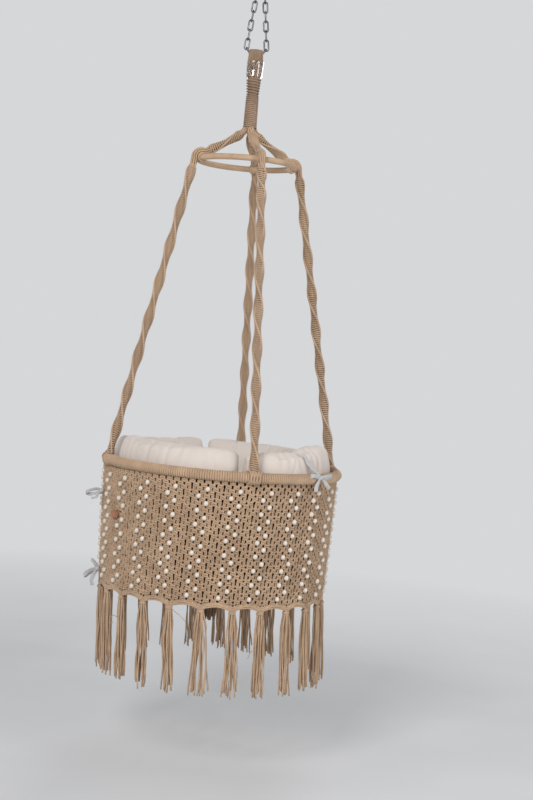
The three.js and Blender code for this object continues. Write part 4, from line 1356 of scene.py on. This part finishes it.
def crease_bumper(place, piece):
    """Puts the photograph's folds on a section and keeps it inside the basket."""
    points, normals = read_points(piece), read_points(piece, "normal")
    degrees = np.degrees(np.arctan2(points[:, 0], -points[:, 1]))
    across = (degrees - BUMPERS[place] + 180) % 360 - 180
    rise = (points[:, 2] - BUMPER_FOOT) / (BUMPER_TOP - BUMPER_FOOT)
    shift = np.zeros(len(points))
    rng = np.random.default_rng(5 + list(BUMPERS).index(place))
    for _ in range(BUMPER_CREASES):
        spot = rng.uniform(-40, 40)
        tilt = rng.normal(0, 9)
        middle_rise = rng.uniform(0.55, 1.0)
        depth = rng.uniform(0.4, 1.5) * MM * rng.choice([-1, 1], p=[0.7, 0.3])
        line = across - spot - tilt * (rise - middle_rise)
        shift += depth * fold(line, rng.uniform(0.5, 1.3)) * fold(rise - middle_rise, rng.uniform(0.12, 0.3))
    for end in (-1, 1):
        gather = fold(across - end * BUMPER_HALF_SPAN, 11)
        shift -= 1.6 * MM * gather * (0.5 + 0.5 * np.sin(rise * 34 + across * 0.22 * end)) * (rise > 0.2)
    if place == "front":
        line = across + 9 * (rise - 0.8)
        upper_part = np.clip((rise - 0.4) * 3, 0, 1)
        shift -= 3.2 * MM * fold(line + 31, 1.0) * upper_part
        shift += 1.6 * MM * fold(line + 28, 1.6) * upper_part
    if place == "right":
        pleats = np.sin(np.radians(across) * 46 + 1.5 * np.sin(across * 0.3)) * fold(rise - 1.0, 0.17)
        shift += 1.7 * MM * pleats
    points = points + normals * shift[:, None]
    radius = np.hypot(points[:, 0], points[:, 1])
    limit = np.where(points[:, 2] < RIM_Z, BUMPER_LIMIT, BUMPER_LIMIT + 4 * MM)
    points[:, :2] *= np.minimum(1, limit / radius)[:, None]
    points[:, 2] = np.maximum(points[:, 2], BUMPER_FOOT)
    write_points(piece, points)


def make_cushions():
    for place in BUMPERS:
        piece = blown_up(f"bumper_cushion_{place}", bumper_shell(place))
        crease_bumper(place, piece)
        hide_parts(f"bumper_{place}")
    piece = blown_up("mattress_cushion", mattress_shell(), 6 * MM, 8 * MM)
    points = read_points(piece)
    radius = np.hypot(points[:, 0], points[:, 1])
    points[:, :2] *= np.minimum(1, MATTRESS_RADIUS / radius)[:, None]
    under_bumper = np.clip((radius - 175 * MM) / (25 * MM), 0, 1)
    ceiling = MATTRESS_TOP + MATTRESS_CROWN * (1 - under_bumper)
    points[:, 2] = np.clip(points[:, 2], MATTRESS_FOOT, ceiling)
    write_points(piece, points)
    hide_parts("mattress")


make_cushions()

# Trim: tape bows and the wooden button
TAPE_THICKNESS = 0.9 * MM
BUTTON_HALF_LENGTH = 18 * MM
BUTTON_HALF_HEIGHT = 9.5 * MM


def strip(path, across, width, thickness=TAPE_THICKNESS):
    """A flat tape along a path; across is the way its width lies, one or one for each point."""
    path = np.asarray(path, float)
    ahead = unit(np.gradient(path, axis=0))
    across = np.broadcast_to(np.asarray(across, float), path.shape)
    across = unit(across - ahead * (across * ahead).sum(1, keepdims=True))
    through = np.cross(ahead, across)
    rings = []
    for x, y in ((-1, -0.6), (-0.9, -1), (0.9, -1), (1, -0.6), (1, 0.6), (0.9, 1), (-0.9, 1), (-1, 0.6)):
        rings.append(path + across * x * width / 2 + through * y * thickness / 2)
    return skin(np.stack(rings, 1), run_lengths(path))


def bow_at(knot, facing, loops, tails):
    """Tape loops and tails from one knot: (x across, y towards the viewer, z up) in millimetres."""
    pile = Pile()
    right, out, up = around(1, facing + 90, 0), around(1, facing, 0), np.array([0, 0, 1.0])

    def place(points):
        return [knot + (x * right + y * out + z * up) * MM for x, y, z in points]
    for shapes, lies in ((loops, up), (tails, right)):
        for shape, width in shapes:
            path = bent_path(place(shape))
            sway = np.linspace(0, 1, len(path))[:, None]
            across = lies + out * 0.45 * np.sin(5 * sway + len(shape))
            pile.add(strip(path, across, width * MM))
    middle_turn = place([(-5, 2, -1), (-3, 7, 0), (3, 7, 1), (5, 2, 0)])
    pile.add(strip(bent_path(middle_turn, 14), up, 9 * MM, 2.5 * MM))
    return pile


def make_ties():
    knot = around(305 * MM, 52, RIM_Z + 5 * MM)
    near = [(0, 5, 0), (-12, 9, 3), (-25, 8, 5), (-30, 4, 3), (-24, 1, 1), (-10, 1, -1), (0, 2, 0)]
    far = [(0, 5, 0), (12, 9, 4), (26, 8, 6), (31, 4, 3), (25, 1, 1), (11, 1, -1), (0, 2, 0)]
    pile = bow_at(knot, 34, [(near, 10), (far, 10)],
                  [([(0, 3, 0), (-8, 8, -9), (-13, 7, -22), (-12, 6, -33)], 9.5),
                   ([(0, 3, 0), (9, 8, -8), (17, 8, -17), (27, 7, -25)], 9.5)])
    strap = [knot] + [around(reach * MM, degrees, RIM_Z + rise * MM) for reach, degrees, rise in
                      ((301, 51.5, 15), (288, 50.6, 24), (276, 49.6, 36), (273, 48.6, 48), (262, 47.6, 60))]
    pile.add(strip(bent_path(strap, 26), around(1, 132, 0), 11 * MM))
    pile.build("tie_bow_right", ribbon, "tie_right", slot="ribbon")
    knot = around(299 * MM, 286, middle("tie_left_upper")[2] + 6 * MM)
    loop = [(4, 1, 0), (-13, 5, 3), (-29, 7, -2), (-37, 4, -8), (-29, 1, -12), (-13, 1, -8), (4, 0, -4)]
    pile = bow_at(knot, 0, [(loop, 8)], [([(2, 3, -2), (-8, 7, -8), (-12, 7, -17), (-24, 6, -21)], 7)])
    pile.build("tie_loop_upper", ribbon, "tie_left_upper", slot="ribbon")
    knot = around(294 * MM, 286, middle("tie_left_lower")[2] + 6 * MM)
    wide = [(0, 5, 0), (-13, 9, -3), (-26, 8, -12), (-31, 4, -20), (-24, 1, -17), (-11, 1, -8), (0, 2, 0)]
    tall = [(0, 5, 2), (-6, 9, 11), (-13, 8, 19), (-16, 4, 21), (-10, 1, 16), (-3, 1, 8), (0, 2, 0)]
    tail = [(0, 3, 0), (-7, 8, -14), (-12, 7, -30), (-9, 6, -42)]
    pile = bow_at(knot, 0, [(wide, 10), (tall, 8)], [(tail, 9)])
    pile.build("tie_bow_lower", ribbon, "tie_left_lower", slot="ribbon")


def make_button():
    """A plain oval of wood with a rounded edge."""
    centre = middle("wooden_button")
    degrees = math.degrees(math.atan2(centre[0], -centre[1]))
    out, side, up = around(1, degrees, 0), around(1, degrees + 90, 0), np.array([0, 0, 1.0])
    turn = turns(48)
    oval = BUTTON_HALF_LENGTH * np.cos(turn)[:, None] * side + BUTTON_HALF_HEIGHT * np.sin(turn)[:, None] * up
    levels = [(0.02, 1.9), (0.6, 1.9), (0.88, 1.7), (0.97, 1.2), (1.0, 0.4), (1.0, -0.4), (0.96, -1.2),
              (0.02, -1.4)]
    rings = np.array([centre + share * oval + out * height * MM for share, height in levels])
    build_piece("button_oval", wood, "wooden_button",
                skin(rings[::-1], np.linspace(0, 1, len(rings))), slot="cane")


make_ties()
make_button()


# Camera, lights and stage
FLOOR_Z = -2.05
FLOOR_RADIUS = 9
FADE_START = 1.2
FADE_END = 3.2
ROOM_LIGHT = (0.62, 0.64, 0.66, 1)
ROOM_STRENGTH = 0.55


def make_camera():
    camera = bpy.data.cameras.new("camera")
    camera.sensor_width = SENSOR
    camera.sensor_fit = "AUTO"
    camera.lens = FOCAL_PX * SENSOR / PHOTO_HEIGHT_PX
    camera.clip_start = 0.05
    camera.clip_end = 60
    eye = bpy.data.objects.new("camera", camera)
    level = math.cos(CAMERA_PITCH)
    ahead = Vector((math.sin(CAMERA_YAW) * level, math.cos(CAMERA_YAW) * level, math.sin(CAMERA_PITCH)))
    right = Vector((math.cos(CAMERA_YAW), -math.sin(CAMERA_YAW), 0))
    upward = right.cross(ahead)
    turned_right = math.cos(CAMERA_ROLL) * right + math.sin(CAMERA_ROLL) * upward
    turned_up = -math.sin(CAMERA_ROLL) * right + math.cos(CAMERA_ROLL) * upward
    turned = Matrix((turned_right, turned_up, -ahead)).transposed().to_4x4()
    eye.matrix_world = Matrix.Translation(CAMERA_PLACE) @ turned
    bpy.context.scene.collection.objects.link(eye)
    bpy.context.scene.camera = eye


def make_light(name, place, aim_height, power, width, colour=(1, 1, 1)):
    lamp = bpy.data.lights.new(name, "AREA")
    lamp.energy = power
    lamp.size = width
    lamp.color = colour
    thing = bpy.data.objects.new(name, lamp)
    thing.location = place
    thing.rotation_euler = (Vector((0, 0, aim_height)) - Vector(place)).to_track_quat("-Z", "Y").to_euler()
    bpy.context.scene.collection.objects.link(thing)


def make_world():
    """Rays that go straight or through glass to the camera see the backdrop; others see a dimmer room."""
    n = Nodes("room", bpy.data.worlds, "Background")
    rays = n.new("ShaderNodeLightPath")
    shown = n.math("MAXIMUM", rays.outputs["Is Camera Ray"], rays.outputs["Is Transmission Ray"])
    n.link(n.mix(shown, ROOM_LIGHT, linear(BACKDROP_GREY)), n.shader.inputs["Color"])
    n.link(n.ramp(shown, 0.0, 1.0, ROOM_STRENGTH), n.shader.inputs["Strength"])
    bpy.context.scene.world = n.owner


def make_floor():
    """A pale round floor that fades into the backdrop's colour far from the cradle."""
    mesh = bpy.data.meshes.new("floor")
    circle = level_ring(FLOOR_RADIUS, FLOOR_Z, 96).tolist()
    mesh.from_pydata(circle, [], [range(len(circle))])
    n = Nodes("floor_paint")
    parts = n.new("ShaderNodeSeparateXYZ")
    n.link(n.new("ShaderNodeTexCoord").outputs["Object"], parts.inputs[0])
    squares = [n.math("POWER", part, 2.0) for part in parts.outputs[:2]]
    reach = n.math("SQRT", n.math("ADD", *squares))
    patch = n.noise(3, 3)
    n.link(n.mix(n.ramp(patch, 0.3, 0.7), linear((222, 223, 225)), linear((217, 218, 220))),
           n.shader.inputs["Base Color"])
    n.set(Roughness=0.8)
    glow = n.new("ShaderNodeEmission")
    glow.inputs["Color"].default_value = linear(BACKDROP_GREY)
    fade = n.new("ShaderNodeMixShader")
    n.link(n.ramp(reach, FADE_START, FADE_END), fade.inputs[0])
    n.link(n.shader.outputs[0], fade.inputs[1])
    n.link(glow.outputs[0], fade.inputs[2])
    n.link(fade.outputs[0], n.tree.nodes["Material Output"].inputs["Surface"])
    floor = bpy.data.objects.new("floor", mesh)
    mesh.materials.append(n.owner)
    bpy.context.scene.collection.objects.link(floor)


make_camera()
make_world()
make_floor()
make_light("key", (-1.3, -3.3, 0.7), -1.2, 88, 1.4, (1.0, 0.985, 0.97))
make_light("fill", (2.7, -2.2, -0.5), -1.3, 40, 1.8, (1.0, 0.985, 0.975))
make_light("rim", (0.8, 2.8, 0.4), -1.1, 30, 1.8)
bpy.context.scene.view_settings.view_transform = "Standard"
